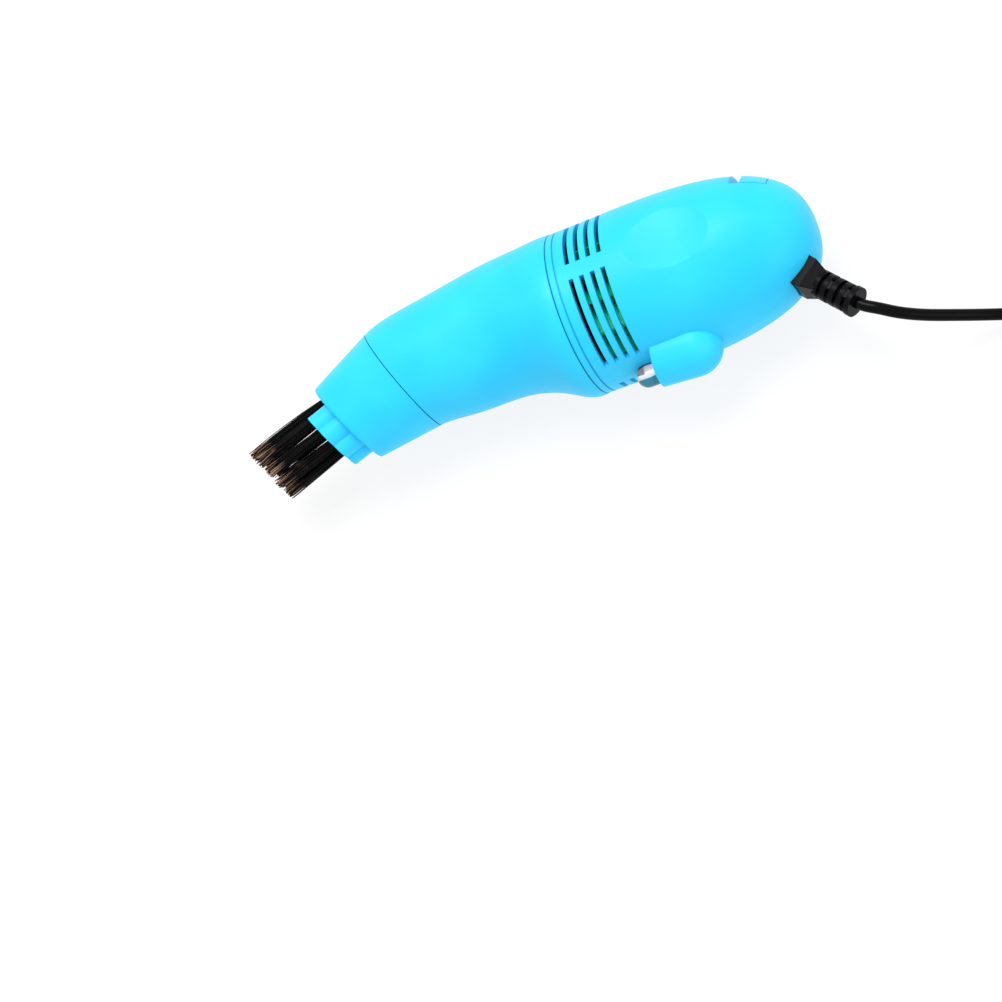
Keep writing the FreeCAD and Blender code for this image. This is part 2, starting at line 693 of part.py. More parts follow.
def head_shell():
    """The tapered collar with its sleeve, its front plate and the lobed skirt."""
    root = snout_rings(0)[-1][1]
    sleeve = sleeve_radius()
    bore = sleeve - SLEEVE_WALL
    seat = -LINE_GAP
    slope = (root - HEAD_FRONT_RADIUS) / HEAD_LENGTH
    rings = [(behind(head_centre(), head_tilt(), seat), root, head_tilt())]
    edge_radius = HEAD_FRONT_RADIUS + slope * HEAD_EDGE
    for distance, radius in (
        (HEAD_EDGE, edge_radius),
        (HEAD_EDGE / 4, HEAD_FRONT_RADIUS - HEAD_EDGE / 4),
        (0, HEAD_FRONT_RADIUS - HEAD_EDGE),
    ):
        rings.append((behind(face_centre(), FACE_LEAN, distance), radius, FACE_LEAN))
    collar = Part.makeLoft([tilted_circle(*ring) for ring in rings], True, True)
    throat = seat - HEAD_WALL
    plate_radius = HEAD_FRONT_RADIUS + slope * PLATE_THICK - HEAD_WALL
    chamber = (
        (behind(head_centre(), head_tilt(), throat), bore, head_tilt()),
        (behind(face_centre(), FACE_LEAN, PLATE_THICK), plate_radius, FACE_LEAN),
    )
    chamber = Part.makeLoft([tilted_circle(*ring) for ring in chamber], True, True)
    body = collar.fuse([head_place(rod(sleeve, throat, SLEEVE_LENGTH)), face_place(skirt())])
    holes = [tuft_shape(index, PUSH_GAP / 2) for index in range(TUFT_COUNT)]
    holes.append(rod(MOUTH_RADIUS, -LOBE_LENGTH, PLATE_THICK + OVERRUN, MOUTH_OFFSET))
    cuts = [face_place(hole) for hole in holes]
    cuts += [chamber, head_place(rod(bore, throat, SLEEVE_LENGTH + OVERRUN))]
    return body.cut(cuts)


def ring_point(x, radius, angle):
    """A point about the X axis; its angle runs from +Z towards the lamp side."""
    turn = math.radians(angle)
    return Vector(x, -radius * math.sin(turn), radius * math.cos(turn))


def skirt():
    """The half ring of lobes that stands out from the head's front."""
    back = PLATE_THICK / 2
    outer = []
    inner = []
    for index in range(LOBE_COUNT):
        start = LOBE_FROM + LOBE_PITCH * index
        angles = (start, start + LOBE_PITCH / 2, start + LOBE_PITCH)
        radii = (LOBE_VALLEY_RADIUS, LOBE_CROWN_RADIUS, LOBE_VALLEY_RADIUS)
        points = [ring_point(0, radius, angle) for radius, angle in zip(radii, angles)]
        outer.append(Part.Arc(*points).toShape())
        points = [ring_point(0, radius - LOBE_WALL, angle) for radius, angle in zip(radii, angles)]
        inner.append(Part.Arc(*points).toShape())
    ends = []
    for angle in (LOBE_FROM, LOBE_FROM + LOBE_PITCH * LOBE_COUNT):
        low = ring_point(0, LOBE_VALLEY_RADIUS - LOBE_WALL, angle)
        ends.append(Part.LineSegment(low, ring_point(0, LOBE_VALLEY_RADIUS, angle)).toShape())
    wire = Part.Wire(Part.__sortEdges__(outer + inner + ends))
    lobes = Part.Face(wire).extrude(reach_direction() * (LOBE_LENGTH + back))
    lobes.translate(reach_direction() * -back)
    return lobes


def tuft_shape(index, grown):
    """One tuft, seen from the front face and grown by a clearance."""
    angle = LOBE_FROM + LOBE_PITCH * (index + 1 / 2)
    ahead = reach_direction()
    foot = ring_point(0, TUFT_RING_RADIUS, angle) + Vector(0, MOUTH_OFFSET, 0)
    place = foot - ahead * (TUFT_SEAT + grown)
    length = TUFT_SEAT + TUFT_LENGTH + grown
    return Part.makeCone(TUFT_ROOT_RADIUS + grown, TUFT_TIP_RADIUS + grown, length, place, ahead)


def brush_tufts():
    """The ring of bristle tufts."""
    return Part.makeCompound([face_place(tuft_shape(index, 0)) for index in range(TUFT_COUNT)])


def dome_skin(base_x, radius, height, thick):
    """A domed skin about X, open at base_x, that bulges towards the nozzle."""
    skins = []
    for grown in (0, thick):
        ball = Part.makeSphere(radius + grown)
        stretch = FreeCAD.Matrix()
        stretch.A11 = (height + grown) / (radius + grown)
        ball = ball.transformGeometry(stretch)
        ball.translate(Vector(base_x, 0, 0))
        skins.append(ball)
    side = 2 * (radius + thick)
    behind = block(base_x, base_x + side, -side, side, -side, side)
    return skins[1].cut([skins[0], behind])


def filter_sizes():
    """Rear face, front face and outer radius of the filter's ring."""
    rear = -FILTER_RING_SETBACK
    outer = SPIGOT_RADIUS - SPIGOT_WALL - MOVE_GAP
    return rear, rear - FILTER_RING_THICK, outer


def filter_frame():
    """The filter's ring and the four ribs of its dome."""
    rear, front, outer = filter_sizes()
    ring = pipe(outer, outer - FILTER_RING_WALL, front, rear)
    radius = outer - FILTER_RING_WALL - CLOTH_THICK
    dome = dome_skin(front + FILTER_RING_THICK / 2, radius, DOME_HEIGHT, DOME_RIB)
    far = 2 * BODY_RADIUS
    half = DOME_RIB / 2
    ribs = block(-far, 0, -far, far, -half, half).fuse(block(-far, 0, -half, half, -far, far))
    return joined([ring, dome.common(ribs)])


def filter_cloth():
    """The cloth that is drawn over the dome's ribs."""
    _, front, outer = filter_sizes()
    radius = outer - FILTER_RING_WALL - CLOTH_THICK + DOME_RIB + SEAT_GAP
    height = DOME_HEIGHT + DOME_RIB + SEAT_GAP - FILTER_RING_THICK / 2 - SEAT_GAP
    return dome_skin(front - SEAT_GAP, radius, height, CLOTH_THICK)


def inlet_plate():
    """The plate with the fan's inlet and its guard."""
    x = FLANGE_THICK + SEAT_GAP
    back = x + INLET_THICK
    plate = pipe(wall_radius(x, back) - SEAT_GAP, INLET_HOLE_RADIUS, x, back)
    lip = pipe(INLET_HOLE_RADIUS + INLET_LIP, INLET_HOLE_RADIUS, x, back + INLET_LIP)
    half = GUARD_WIDTH / 2
    far = INLET_HOLE_RADIUS + INLET_LIP / 2
    bars = [block(x, back, -far, far, -half, half), block(x, back, -half, half, -far, far)]
    return joined([plate, lip] + bars)


def blade_section(index, x):
    """The outline of one curved blade."""
    sides = []
    tip = FAN_RADIUS - BLADE_THICK / 2
    radii = (BLADE_ROOT_RADIUS, (BLADE_ROOT_RADIUS + tip) / 2, tip)
    for side in (-1, 1):
        points = []
        for share, radius in zip(BLADE_SWEEP_SHARES, radii):
            half = math.degrees(BLADE_THICK / 2 / radius)
            angle = 360 * index / BLADE_COUNT + BLADE_SWEEP * share + side * half
            points.append(ring_point(x, radius, angle))
        sides.append(points)
    first, second = sides
    edges = [
        Part.Arc(*first).toShape(),
        Part.LineSegment(first[2], second[2]).toShape(),
        Part.Arc(*second).toShape(),
        Part.LineSegment(second[0], first[0]).toShape(),
    ]
    return Part.Face(Part.Wire(Part.__sortEdges__(edges)))


def impeller():
    """The fan: a hub, a disc and its curved blades."""
    disc_end = FAN_DISC_X + FAN_DISC_THICK
    parts = [rod(FAN_HUB_RADIUS, FAN_FRONT_X, disc_end), rod(FAN_RADIUS, FAN_DISC_X, disc_end)]
    for index in range(BLADE_COUNT):
        face = blade_section(index, FAN_FRONT_X)
        parts.append(face.extrude(Vector(FAN_DISC_X + FAN_DISC_THICK / 2 - FAN_FRONT_X, 0, 0)))
    return joined(parts).cut(rod(SHAFT_RADIUS + RUN_GAP, 0, disc_end + OVERRUN))


def motor_screw_places():
    """Where the two motor screws stand, in Z."""
    return (-MOTOR_SCREW_REACH, MOTOR_SCREW_REACH)


def motor_bulkhead():
    """The plate between fan and motor, with the collar that holds the motor."""
    back = BULKHEAD_X + BULKHEAD_THICK
    inner = MOTOR_RADIUS + SEAT_GAP
    plate = rod(wall_radius(BULKHEAD_X, back) - SEAT_GAP, BULKHEAD_X, back)
    collar = pipe(inner + COLLAR_WALL, inner, back - BULKHEAD_THICK / 2, back + COLLAR_LENGTH)
    holes = [rod(BOSS_TUBE_RADIUS + SEAT_GAP, 0, back + OVERRUN)]
    holes.append(rod(inner, back, back + COLLAR_LENGTH + OVERRUN))
    for z in motor_screw_places():
        holes.append(rod(MOTOR_SCREW_RADIUS + SEAT_GAP, 0, back + OVERRUN, 0, z))
    return joined([plate, collar]).cut(holes)


def motor_screws():
    """The two screws that hold the motor to its bulkhead."""
    screws = []
    for z in motor_screw_places():
        head = rod(MOTOR_SCREW_HEAD_RADIUS, BULKHEAD_X - MOTOR_SCREW_HEAD_THICK, BULKHEAD_X, 0, z)
        screws.append(head.fuse(rod(MOTOR_SCREW_RADIUS, BULKHEAD_X, MOTOR_X + CAN_WALL, 0, z)))
    return Part.makeCompound(screws)


def motor_can():
    """The drawn steel can with the tube that holds the front bush."""
    can = pipe(MOTOR_RADIUS, MOTOR_RADIUS - CAN_WALL, MOTOR_X, MOTOR_END_X)
    face = rod(MOTOR_RADIUS - CAN_WALL / 2, MOTOR_X, MOTOR_X + CAN_WALL)
    tube = rod(BOSS_TUBE_RADIUS, MOTOR_X - BOSS_TUBE_LENGTH, MOTOR_X + CAN_WALL)
    holes = [rod(BUSH_RADIUS + SEAT_GAP, 0, MOTOR_X + CAN_WALL + OVERRUN)]
    for z in motor_screw_places():
        ends = (MOTOR_X - OVERRUN, MOTOR_X + CAN_WALL + OVERRUN)
        holes.append(rod(MOTOR_SCREW_RADIUS + SEAT_GAP, *ends, 0, z))
    return joined([can, face, tube]).cut(holes)


def bush(x):
    """A sintered bush that starts at x."""
    return pipe(BUSH_RADIUS, SHAFT_RADIUS + RUN_GAP, x, x + BUSH_LENGTH)


def front_bush_place():
    """Where the front bush begins."""
    return MOTOR_X - BOSS_TUBE_LENGTH + SEAT_GAP


def rear_bush_place():
    """Where the rear bush begins."""
    return MOTOR_END_X + END_BOSS_LENGTH - SEAT_GAP - BUSH_LENGTH


def core_place():
    """Where the rotor's core begins."""
    return MOTOR_X + (MOTOR_LENGTH - CORE_LENGTH) / 2 - COMMUTATOR_LENGTH / 2


def motor_magnets():
    """The two arc magnets on the can's wall."""
    outer = MOTOR_RADIUS - CAN_WALL - SEAT_GAP
    x = core_place() + (CORE_LENGTH - MAGNET_LENGTH) / 2
    arcs = []
    for crown in (0, 180):
        ends = (crown - MAGNET_HALF_ANGLE, crown + MAGNET_HALF_ANGLE)
        arcs.append(sector(x, x + MAGNET_LENGTH, outer - MAGNET_THICK, outer, *ends))
    return Part.makeCompound(arcs)


def motor_end_cap():
    """The plastic cap with the rear bush's seat and the brushes' slots."""
    cap = rod(MOTOR_RADIUS - CAN_WALL - SEAT_GAP, MOTOR_END_X - END_CAP_THICK, MOTOR_END_X)
    boss = rod(END_BOSS_RADIUS, MOTOR_END_X - END_CAP_THICK, MOTOR_END_X + END_BOSS_LENGTH)
    holes = [rod(BUSH_RADIUS + SEAT_GAP, MOTOR_X, MOTOR_END_X + END_BOSS_LENGTH + OVERRUN)]
    half_width = TAB_WIDTH / 2 + SEAT_GAP
    for side in (-1, 1):
        y_from, y_to = tab_span(side)
        x_to = MOTOR_END_X + OVERRUN
        tab = block(MOTOR_X, x_to, y_from - SEAT_GAP, y_to + SEAT_GAP, -half_width, half_width)
        holes.append(tab)
    return joined([cap, boss]).cut(holes)


def tab_span(side):
    """The faces of one motor terminal, in Y."""
    return tuple(sorted((side * TAB_REACH, side * (TAB_REACH + TAB_THICK))))


def motor_terminals():
    """The tabs at the motor's rear, each in one piece with its brush leaf."""
    tabs = []
    leaf_x = MOTOR_END_X - END_CAP_THICK - SEAT_GAP
    for side in (-1, 1):
        y_from, y_to = tab_span(side)
        half = TAB_WIDTH / 2
        tab = block(leaf_x - LEAF_WIDTH, MOTOR_END_X + TAB_LENGTH, y_from, y_to, -half, half)
        reach = COMMUTATOR_RADIUS + RUN_GAP
        foot_from, foot_to = sorted((side * reach, side * (TAB_REACH + TAB_THICK)))
        leaf = block(leaf_x - LEAF_WIDTH, leaf_x, foot_from, foot_to, -LEAF_THICK / 2, LEAF_THICK / 2)
        tabs.append(tab.fuse(leaf))
    return Part.makeCompound(tabs)


def noise_capacitor():
    """The disc capacitor across the motor's tabs, with its two leads."""
    x = MOTOR_END_X + END_BOSS_LENGTH + MOVE_GAP
    disc = rod(CAPACITOR_RADIUS, x, x + CAPACITOR_THICK)
    middle = x + CAPACITOR_THICK / 2
    reach = TAB_REACH - LEAD_RADIUS
    lead = Part.makeCylinder(LEAD_RADIUS, 2 * reach, Vector(middle, -reach, 0), Vector(0, 1, 0))
    return joined([disc, lead])


def motor_shaft():
    """The steel shaft through fan, core and both bushes."""
    return rod(SHAFT_RADIUS, FAN_FRONT_X + SEAT_GAP, MOTOR_END_X + END_BOSS_LENGTH)


def rotor_core():
    """The three-pole iron core."""
    x = core_place()
    end = x + CORE_LENGTH
    parts = [rod(CORE_HUB_RADIUS, x, end)]
    for index in range(POLE_COUNT):
        angle = 360 * index / POLE_COUNT
        tooth = block(x, end, -POLE_WIDTH / 2, POLE_WIDTH / 2, 0, CORE_RADIUS - SHOE_THICK / 2)
        tooth.rotate(Vector(0, 0, 0), AXIS, angle)
        ends = (angle - SHOE_HALF_ANGLE, angle + SHOE_HALF_ANGLE)
        parts += [tooth, sector(x, end, CORE_RADIUS - SHOE_THICK, CORE_RADIUS, *ends)]
    return joined(parts).cut(rod(SHAFT_RADIUS + RUN_GAP, 0, TAIL_X))


def rotor_windings():
    """One copper winding round each of the core's teeth."""
    x = core_place()
    end = x + CORE_LENGTH
    low = CORE_HUB_RADIUS + WINDING_THICK
    high = CORE_RADIUS - SHOE_THICK - SEAT_GAP
    gap = POLE_WIDTH / 2 + SEAT_GAP
    wide = gap + WINDING_THICK
    coils = []
    for index in range(POLE_COUNT):
        outer = block(x - WINDING_THICK, end + WINDING_THICK, -wide, wide, low, high)
        coil = outer.cut(block(x - SEAT_GAP, end + SEAT_GAP, -gap, gap, 0, CORE_RADIUS))
        coil = coil.common(rod(CORE_RADIUS - SHOE_THICK - SEAT_GAP, 0, TAIL_X))
        coil.rotate(Vector(0, 0, 0), AXIS, 360 * index / POLE_COUNT)
        coils.append(coil)
    return Part.makeCompound(coils)


def commutator():
    """The commutator: a sleeve with three copper segments."""
    x = MOTOR_END_X - END_CAP_THICK - SEAT_GAP - COMMUTATOR_LENGTH
    ring = pipe(COMMUTATOR_RADIUS, SHAFT_RADIUS + RUN_GAP, x, x + COMMUTATOR_LENGTH)
    cuts = []
    for index in range(POLE_COUNT):
        half = SEGMENT_SLOT / 2
        depth = (COMMUTATOR_RADIUS + SHAFT_RADIUS) / 2
        end, top = x + COMMUTATOR_LENGTH - SEGMENT_SLOT, COMMUTATOR_RADIUS + OVERRUN
        cut = block(x - OVERRUN, end, -half, half, depth, top)
        cut.rotate(Vector(0, 0, 0), AXIS, 360 * (index + 1 / 2) / POLE_COUNT)
        cuts.append(cut)
    return ring.cut(cuts)


def switch_slider():
    """The saddle-shaped slider, its stem and the foot that keeps it in."""
    end = tail_place(SLIDER_TAIL_RADIUS)
    floor = POCKET_FLOOR_RADIUS + PUSH_GAP
    half = POCKET_HALF_ANGLE - math.degrees(MOVE_GAP / POCKET_FLOOR_RADIUS)
    saddle = sector(SLIDER_FRONT_X, end, floor, BODY_RADIUS, -90 - half, -90 + half)
    saddle = saddle.common(housing_form(0, 0))
    cuts = [slider_bevel()]
    middle = (SLIDER_FRONT_X + SLIDER_BEVEL + end) / 2
    for index in range(GRIP_COUNT):
        x = middle + GRIP_PITCH * (index - (GRIP_COUNT - 1) / 2) - GRIP_WIDTH / 2
        depth = tail_radius(x) - GRIP_DEPTH
        cuts.append(sector(x, x + GRIP_WIDTH, depth, BODY_RADIUS, -90 - half / 2, -90 + half / 2))
    stem_x = SLIDER_FRONT_X + STEM_LENGTH
    stem_half = STEM_WIDTH / 2
    foot_low = FOOT_TOP - FOOT_THICK
    stem_top = floor + STEM_WIDTH / 4
    stem = block(stem_x, stem_x + STEM_LENGTH, foot_low, stem_top, -stem_half, stem_half)
    foot_x = stem_x + (STEM_LENGTH - FOOT_LENGTH) / 2
    foot_half = FOOT_WIDTH / 2
    foot = block(foot_x, foot_x + FOOT_LENGTH, foot_low, FOOT_TOP, -foot_half, foot_half)
    lever_room = LEVER_SIDE / 2 + SEAT_GAP
    centre = stem_x + STEM_LENGTH / 2
    fork_top = SWITCH_TOP + LEVER_RISE + SEAT_GAP
    fork = block(centre - lever_room, centre + lever_room, 0, fork_top, -lever_room, lever_room)
    return joined([saddle.cut(cuts), stem, foot]).cut(fork)


def slider_bevel():
    """The ring that bevels the slider's front edge."""
    radius = tail_radius(SLIDER_FRONT_X)
    points = (
        (SLIDER_FRONT_X - OVERRUN, radius - SLIDER_BEVEL),
        (SLIDER_FRONT_X, radius - SLIDER_BEVEL),
        (SLIDER_FRONT_X + SLIDER_BEVEL, radius),
        (SLIDER_FRONT_X + SLIDER_BEVEL, radius + OVERRUN),
        (SLIDER_FRONT_X - OVERRUN, radius + OVERRUN),
    )
    return turned(lines(points))


def slider_centre():
    """The middle of the slider's stem, in X."""
    return SLIDER_FRONT_X + 3 * STEM_LENGTH / 2


def switch_lever():
    """The small lever of the slide switch."""
    centre = slider_centre()
    half = LEVER_SIDE / 2
    return block(centre - half, centre + half, SWITCH_TOP + PUSH_GAP, SWITCH_TOP + LEVER_RISE, -half, half)


def switch_body():
    """The boxed slide switch that the slider works, with its three pins."""
    x = SWITCH_CENTRE_X - SWITCH_LENGTH / 2
    low = SWITCH_TOP - SWITCH_HEIGHT
    body = block(x, x + SWITCH_LENGTH, low, SWITCH_TOP, -SWITCH_WIDTH / 2, SWITCH_WIDTH / 2)
    pins = []
    for index in (-1, 0, 1):
        middle = SWITCH_CENTRE_X + PIN_PITCH * index
        half = PIN_THICK / 2
        pins.append(block(middle - half, middle + half, low - PIN_LENGTH, low + half, -2 * half, 2 * half))
    return joined([body] + pins)


def led_lens():
    """The clear bulb of the lamp, with the collar that keeps it behind the wall."""
    seat = LAMP_FRONT_X + LAMP_WALL + SEAT_GAP
    collar = rod(BULB_FLANGE_RADIUS, seat, seat + BULB_FLANGE_THICK, -BULB_REACH)
    collar = collar.common(lamp_form(LAMP_WALL + SEAT_GAP))
    sockets = [rod(LEAD_RADIUS + SEAT_GAP, seat, seat + BULB_SEAT + OVERRUN, y) for y in lead_places()]
    return joined([bulb_form(0), collar]).cut(sockets)


def lead_places():
    """The two leads of the lamp, in Y."""
    return (-BULB_REACH - BULB_RADIUS / 2, -BULB_REACH + BULB_RADIUS / 2)


def led_leads():
    """The two leads that come out of the bulb's rear."""
    seat = LAMP_FRONT_X + LAMP_WALL + 2 * SEAT_GAP
    end = seat + BULB_SEAT + LEAD_LENGTH
    return Part.makeCompound([rod(LEAD_RADIUS, seat, end, y) for y in lead_places()])


def square_ring(x, side):
    """A square outline across X."""
    half = side / 2
    corners = ((-half, -half), (half, -half), (half, half), (-half, half), (-half, -half))
    return Part.makePolygon([Vector(x, y, z) for y, z in corners])


def strain_relief():
    """The rubber relief: square foot, tapered neck and slit bellows."""
    foot, neck = square_ring(RELIEF_FOOT, RELIEF_SIDE), square_ring(RELIEF_TAPER_END, RELIEF_TAPER_SIDE)
    parts = [Part.makeLoft([foot, neck], True)]
    half = RELIEF_SIDE / 2
    parts.append(block(-RELIEF_NECK, RELIEF_FOOT, -half, half, -half, half))
    flange = RELIEF_FLANGE_SIDE / 2
    parts.append(block(-RELIEF_NECK - RELIEF_FLANGE_THICK, -RELIEF_NECK, -flange, flange, -flange, flange))
    parts.append(rod(RELIEF_CORE_RADIUS, RELIEF_TAPER_END - RELIEF_FOOT, RELIEF_LENGTH))
    start = RELIEF_TAPER_END - RELIEF_FOOT
    parts.append(rod(RELIEF_RING_RADIUS, start, start + RELIEF_RING_THICK))
    room = RELIEF_LENGTH - RELIEF_RING_THICK - start
    for index in range(1, RELIEF_RING_COUNT + 1):
        x = start + room * index / RELIEF_RING_COUNT
        radius = RELIEF_END_RADIUS if index == RELIEF_RING_COUNT else RELIEF_RING_RADIUS
        parts.append(rod(radius, x, x + RELIEF_RING_THICK))
        before = x - room / RELIEF_RING_COUNT
        bridge = RELIEF_BRIDGE / 2
        long = RELIEF_RING_RADIUS * BRIDGE_LONG_SHARE
        if index % 2:
            parts.append(block(before, x, -long, long, -bridge, bridge))
        else:
            parts.append(block(before, x, -bridge, bridge, -long, long))
    return relief_place(joined(parts))


def relief_end():
    """Where the cord leaves the strain relief, and its direction there."""
    turn = math.radians(RELIEF_ANGLE)
    direction = Vector(math.cos(turn), math.sin(turn), 0)
    return relief_origin() + direction * RELIEF_LENGTH, direction


def bend(before, corner, after):
    """The arc that rounds a corner: its two ends, its middle and its radius."""
    run_in, run_out = corner - before, after - corner
    turn = run_in.getAngle(run_out)
    reach = BEND_REACH_SHARE * min(run_in.Length, run_out.Length)
    radius = reach / math.tan(turn / 2)
    start = corner - run_in.normalize() * reach
    end = corner + run_out.normalize() * reach
    inward = ((start + end) * 0.5 - corner).normalize()
    middle = corner + inward * (radius / math.cos(turn / 2) - radius)
    return start, middle, end, radius


def route_wire(points):
    """Straight runs through points, joined by tangent arcs, and the least radius."""
    edges = []
    radii = []
    place = points[0]
    for before, corner, after in zip(points, points[1:], points[2:]):
        start, middle, end, radius = bend(before, corner, after)
        edges.append(Part.LineSegment(place, start).toShape())
        edges.append(Part.Arc(start, middle, end).toShape())
        radii.append(radius)
        place = end
    edges.append(Part.LineSegment(place, points[-1]).toShape())
    return Part.Wire(edges), radii


def tube_along(wire, radius):
    """A round tube along a wire."""
    start = wire.Edges[0].Vertexes[0].Point
    direction = wire.Edges[0].tangentAt(wire.Edges[0].FirstParameter)
    circle = Part.Wire(Part.Circle(start, direction, radius).toShape())
    return wire.makePipeShell([circle], True, False)


def routed_tube(name, points, radius):
    """A tube along a route, with its radii and its volume printed as a test."""
    wire, radii = route_wire(points)
    solid = tube_along(wire, radius)
    share = solid.Volume / (math.pi * radius**2 * wire.Length)
    rounded = [round(r, 1) for r in radii]
    print(name, "length", round(wire.Length, 1), "radii", rounded, "volume", round(share, 4))
    return solid


def lead_points():
    """The cord's route from the strain relief to the coil."""
    start, direction = relief_end()
    coil = Vector(COIL_CENTRE_X - 2 * CORD_RADIUS, COIL_CENTRE_Y - COIL_OUTER_RADIUS, FLOOR_Z)
    bends = [Vector(*point) for point in LEAD_BENDS]
    return [start, start + direction * RELIEF_RUN] + bends + [coil - AXIS * COIL_RUN, coil]


def end_points():
    """The cord's route from the coil to the plug."""
    coil = Vector(COIL_CENTRE_X + 2 * CORD_RADIUS, COIL_CENTRE_Y - COIL_OUTER_RADIUS, COIL_TOP_Z)
    bends = [Vector(*point) for point in END_BENDS]
    plug = Vector(PLUG_X, PLUG_REAR_Y, PLUG_Z)
    return [coil, coil + AXIS * COIL_RUN] + bends + [plug - Vector(0, PLUG_RUN, 0), plug]


def coil_state(quarter):
    """Place and direction on the coil after a number of quarter turns."""
    per_layer = 4 * TURNS_PER_LAYER
    total = per_layer * COIL_LAYERS
    layer, step = divmod(quarter, per_layer)
    share = step / per_layer
    inward = layer % 2 == 0
    radius = COIL_OUTER_RADIUS - COIL_PITCH * TURNS_PER_LAYER * (share if inward else 1 - share)
    slope = (-1 if inward else 1) * COIL_PITCH / (2 * math.pi)
    height = float(layer)
    rise = 0.0
    if step == 0:
        slope = 0.0
    if step == 0 and 0 < quarter < total:
        height = layer - 0.5
        rise = LAYER_RISE_SHARE * COIL_PITCH / math.pi
    if quarter == total:
        height = layer - 1.0
        radius = COIL_OUTER_RADIUS
    angle = math.radians(90 * quarter - 90)
    along = Vector(-math.sin(angle), math.cos(angle), 0)
    outward = Vector(math.cos(angle), math.sin(angle), 0)
    centre = Vector(COIL_CENTRE_X, COIL_CENTRE_Y, FLOOR_Z + COIL_PITCH * height)
    return centre + outward * radius, (along * radius + outward * slope + UP * rise).normalize()


def arc_between(start, control, end):
    """The arc that leaves start and reaches end along the lines to a control point."""
    middle = (start + end) * 0.5
    weight = (middle - start).Length / (control - start).Length
    return Part.Arc(start, (middle + control * weight) * (1 / (1 + weight)), end).toShape()


def biarc(first, second):
    """Two arcs that join two places in their directions."""
    (start, leaving), (end, arriving) = first, second
    gap = end - start
    both = leaving + arriving
    square = 2 * (1 - leaving.dot(arriving))
    cross = gap.dot(both)
    reach = (-cross + math.sqrt(cross**2 + square * gap.dot(gap))) / square
    near, far = start + leaving * reach, end - arriving * reach
    joint = (near + far) * 0.5
    return [arc_between(start, near, joint), arc_between(joint, far, end)]


def coil_wire():
    """The path of the coil, with a straight end of one cord diameter on either side."""
    states = [coil_state(quarter) for quarter in range(4 * COIL_TURNS + 1)]
    (start, leaving), (end, arriving) = states[0], states[-1]
    edges = [Part.LineSegment(start - leaving * 2 * CORD_RADIUS, start).toShape()]
    for first, second in zip(states, states[1:]):
        edges += biarc(first, second)
    edges.append(Part.LineSegment(end, end + arriving * 2 * CORD_RADIUS).toShape())
    return Part.Wire(edges)


def least_gap(wire):
    """The least gap of the coiled cord to itself, measured on points along it."""
    count = int(wire.Length / CORD_RADIUS)
    points = [tuple(point) for point in wire.discretize(count)]
    least = min(
        math.dist(first, second)
        for index, first in enumerate(points)
        for second in points[index + GAP_TEST_STEPS :]
    )
    return least - 2 * CORD_RADIUS


def cord_coil():
    """The coil of spare cord that lies beside the cleaner."""
    wire = coil_wire()
    solid = tube_along(wire, CORD_RADIUS)
    share = solid.Volume / (math.pi * CORD_RADIUS**2 * wire.Length)
    gap = round(least_gap(wire), 2)
    print("cord_coil length", round(wire.Length, 1), "least gap", gap, "volume", round(share, 4))
    return solid


def plug_place(shape):
    """A copy of something built along X from the plug's rear end, set in its place."""
    return moved(shape, 90, Vector(PLUG_X, PLUG_REAR_Y, PLUG_Z))


def plug_overmould():
    """The plug's moulded grip with its short neck."""
    x = PLUG_NECK_LENGTH
    half, low = PLUG_WIDTH / 2, PLUG_HEIGHT / 2
    grip = block(x, x + PLUG_LENGTH, -half, half, -low, low)
    long_edges = [edge for edge in grip.Edges if abs(edge.tangentAt(0).x) > 0.5]
    grip = grip.makeFillet(PLUG_EDGE, long_edges)
    neck = rod(PLUG_NECK_RADIUS, 0, x + PLUG_EDGE)
    room_y = SHELL_WIDTH / 2 + SEAT_GAP
    room_z = SHELL_HEIGHT / 2 + SEAT_GAP
    tip = x + PLUG_LENGTH
    room = block(tip - SHELL_SEAT - SEAT_GAP, tip + OVERRUN, -room_y, room_y, -room_z, room_z)
    return plug_place(joined([grip, neck]).cut(room))


def plug_ends():
    """Rear and front end of the plug's metal shell, along the plug."""
    tip = PLUG_NECK_LENGTH + PLUG_LENGTH
    return tip - SHELL_SEAT, tip + SHELL_LENGTH


def plug_shell():
    """The folded metal shell with its four windows."""
    rear, front = plug_ends()
    half, low = SHELL_WIDTH / 2, SHELL_HEIGHT / 2
    inner_half, inner_low = half - SHELL_WALL, low - SHELL_WALL
    shell = block(rear, front, -half, half, -low, low)
    cuts = [block(rear - OVERRUN, front + OVERRUN, -inner_half, inner_half, -inner_low, inner_low)]
    x = front - WINDOW_FROM_TIP
    for side in (-1, 1):
        y = side * WINDOW_REACH - WINDOW_SIDE / 2
        cuts.append(block(x, x + WINDOW_SIDE, y, y + WINDOW_SIDE, -low - OVERRUN, low + OVERRUN))
    return plug_place(shell.cut(cuts))


def tongue_faces():
    """Lower and upper face of the plug's plastic tongue."""
    low = -SHELL_HEIGHT / 2 + SHELL_WALL + SEAT_GAP
    return low, low + TONGUE_THICK


def plug_insulator():
    """The plastic tongue inside the metal shell, and the block that carries it."""
    rear, front = plug_ends()
    half = SHELL_WIDTH / 2 - SHELL_WALL - SEAT_GAP
    low, high = tongue_faces()
    tongue = block(rear, front - TONGUE_SETBACK, -half, half, low, high)
    base = block(rear, rear + SHELL_SEAT - MOVE_GAP, -half, half, low, -low)
    return plug_place(joined([tongue, base]))


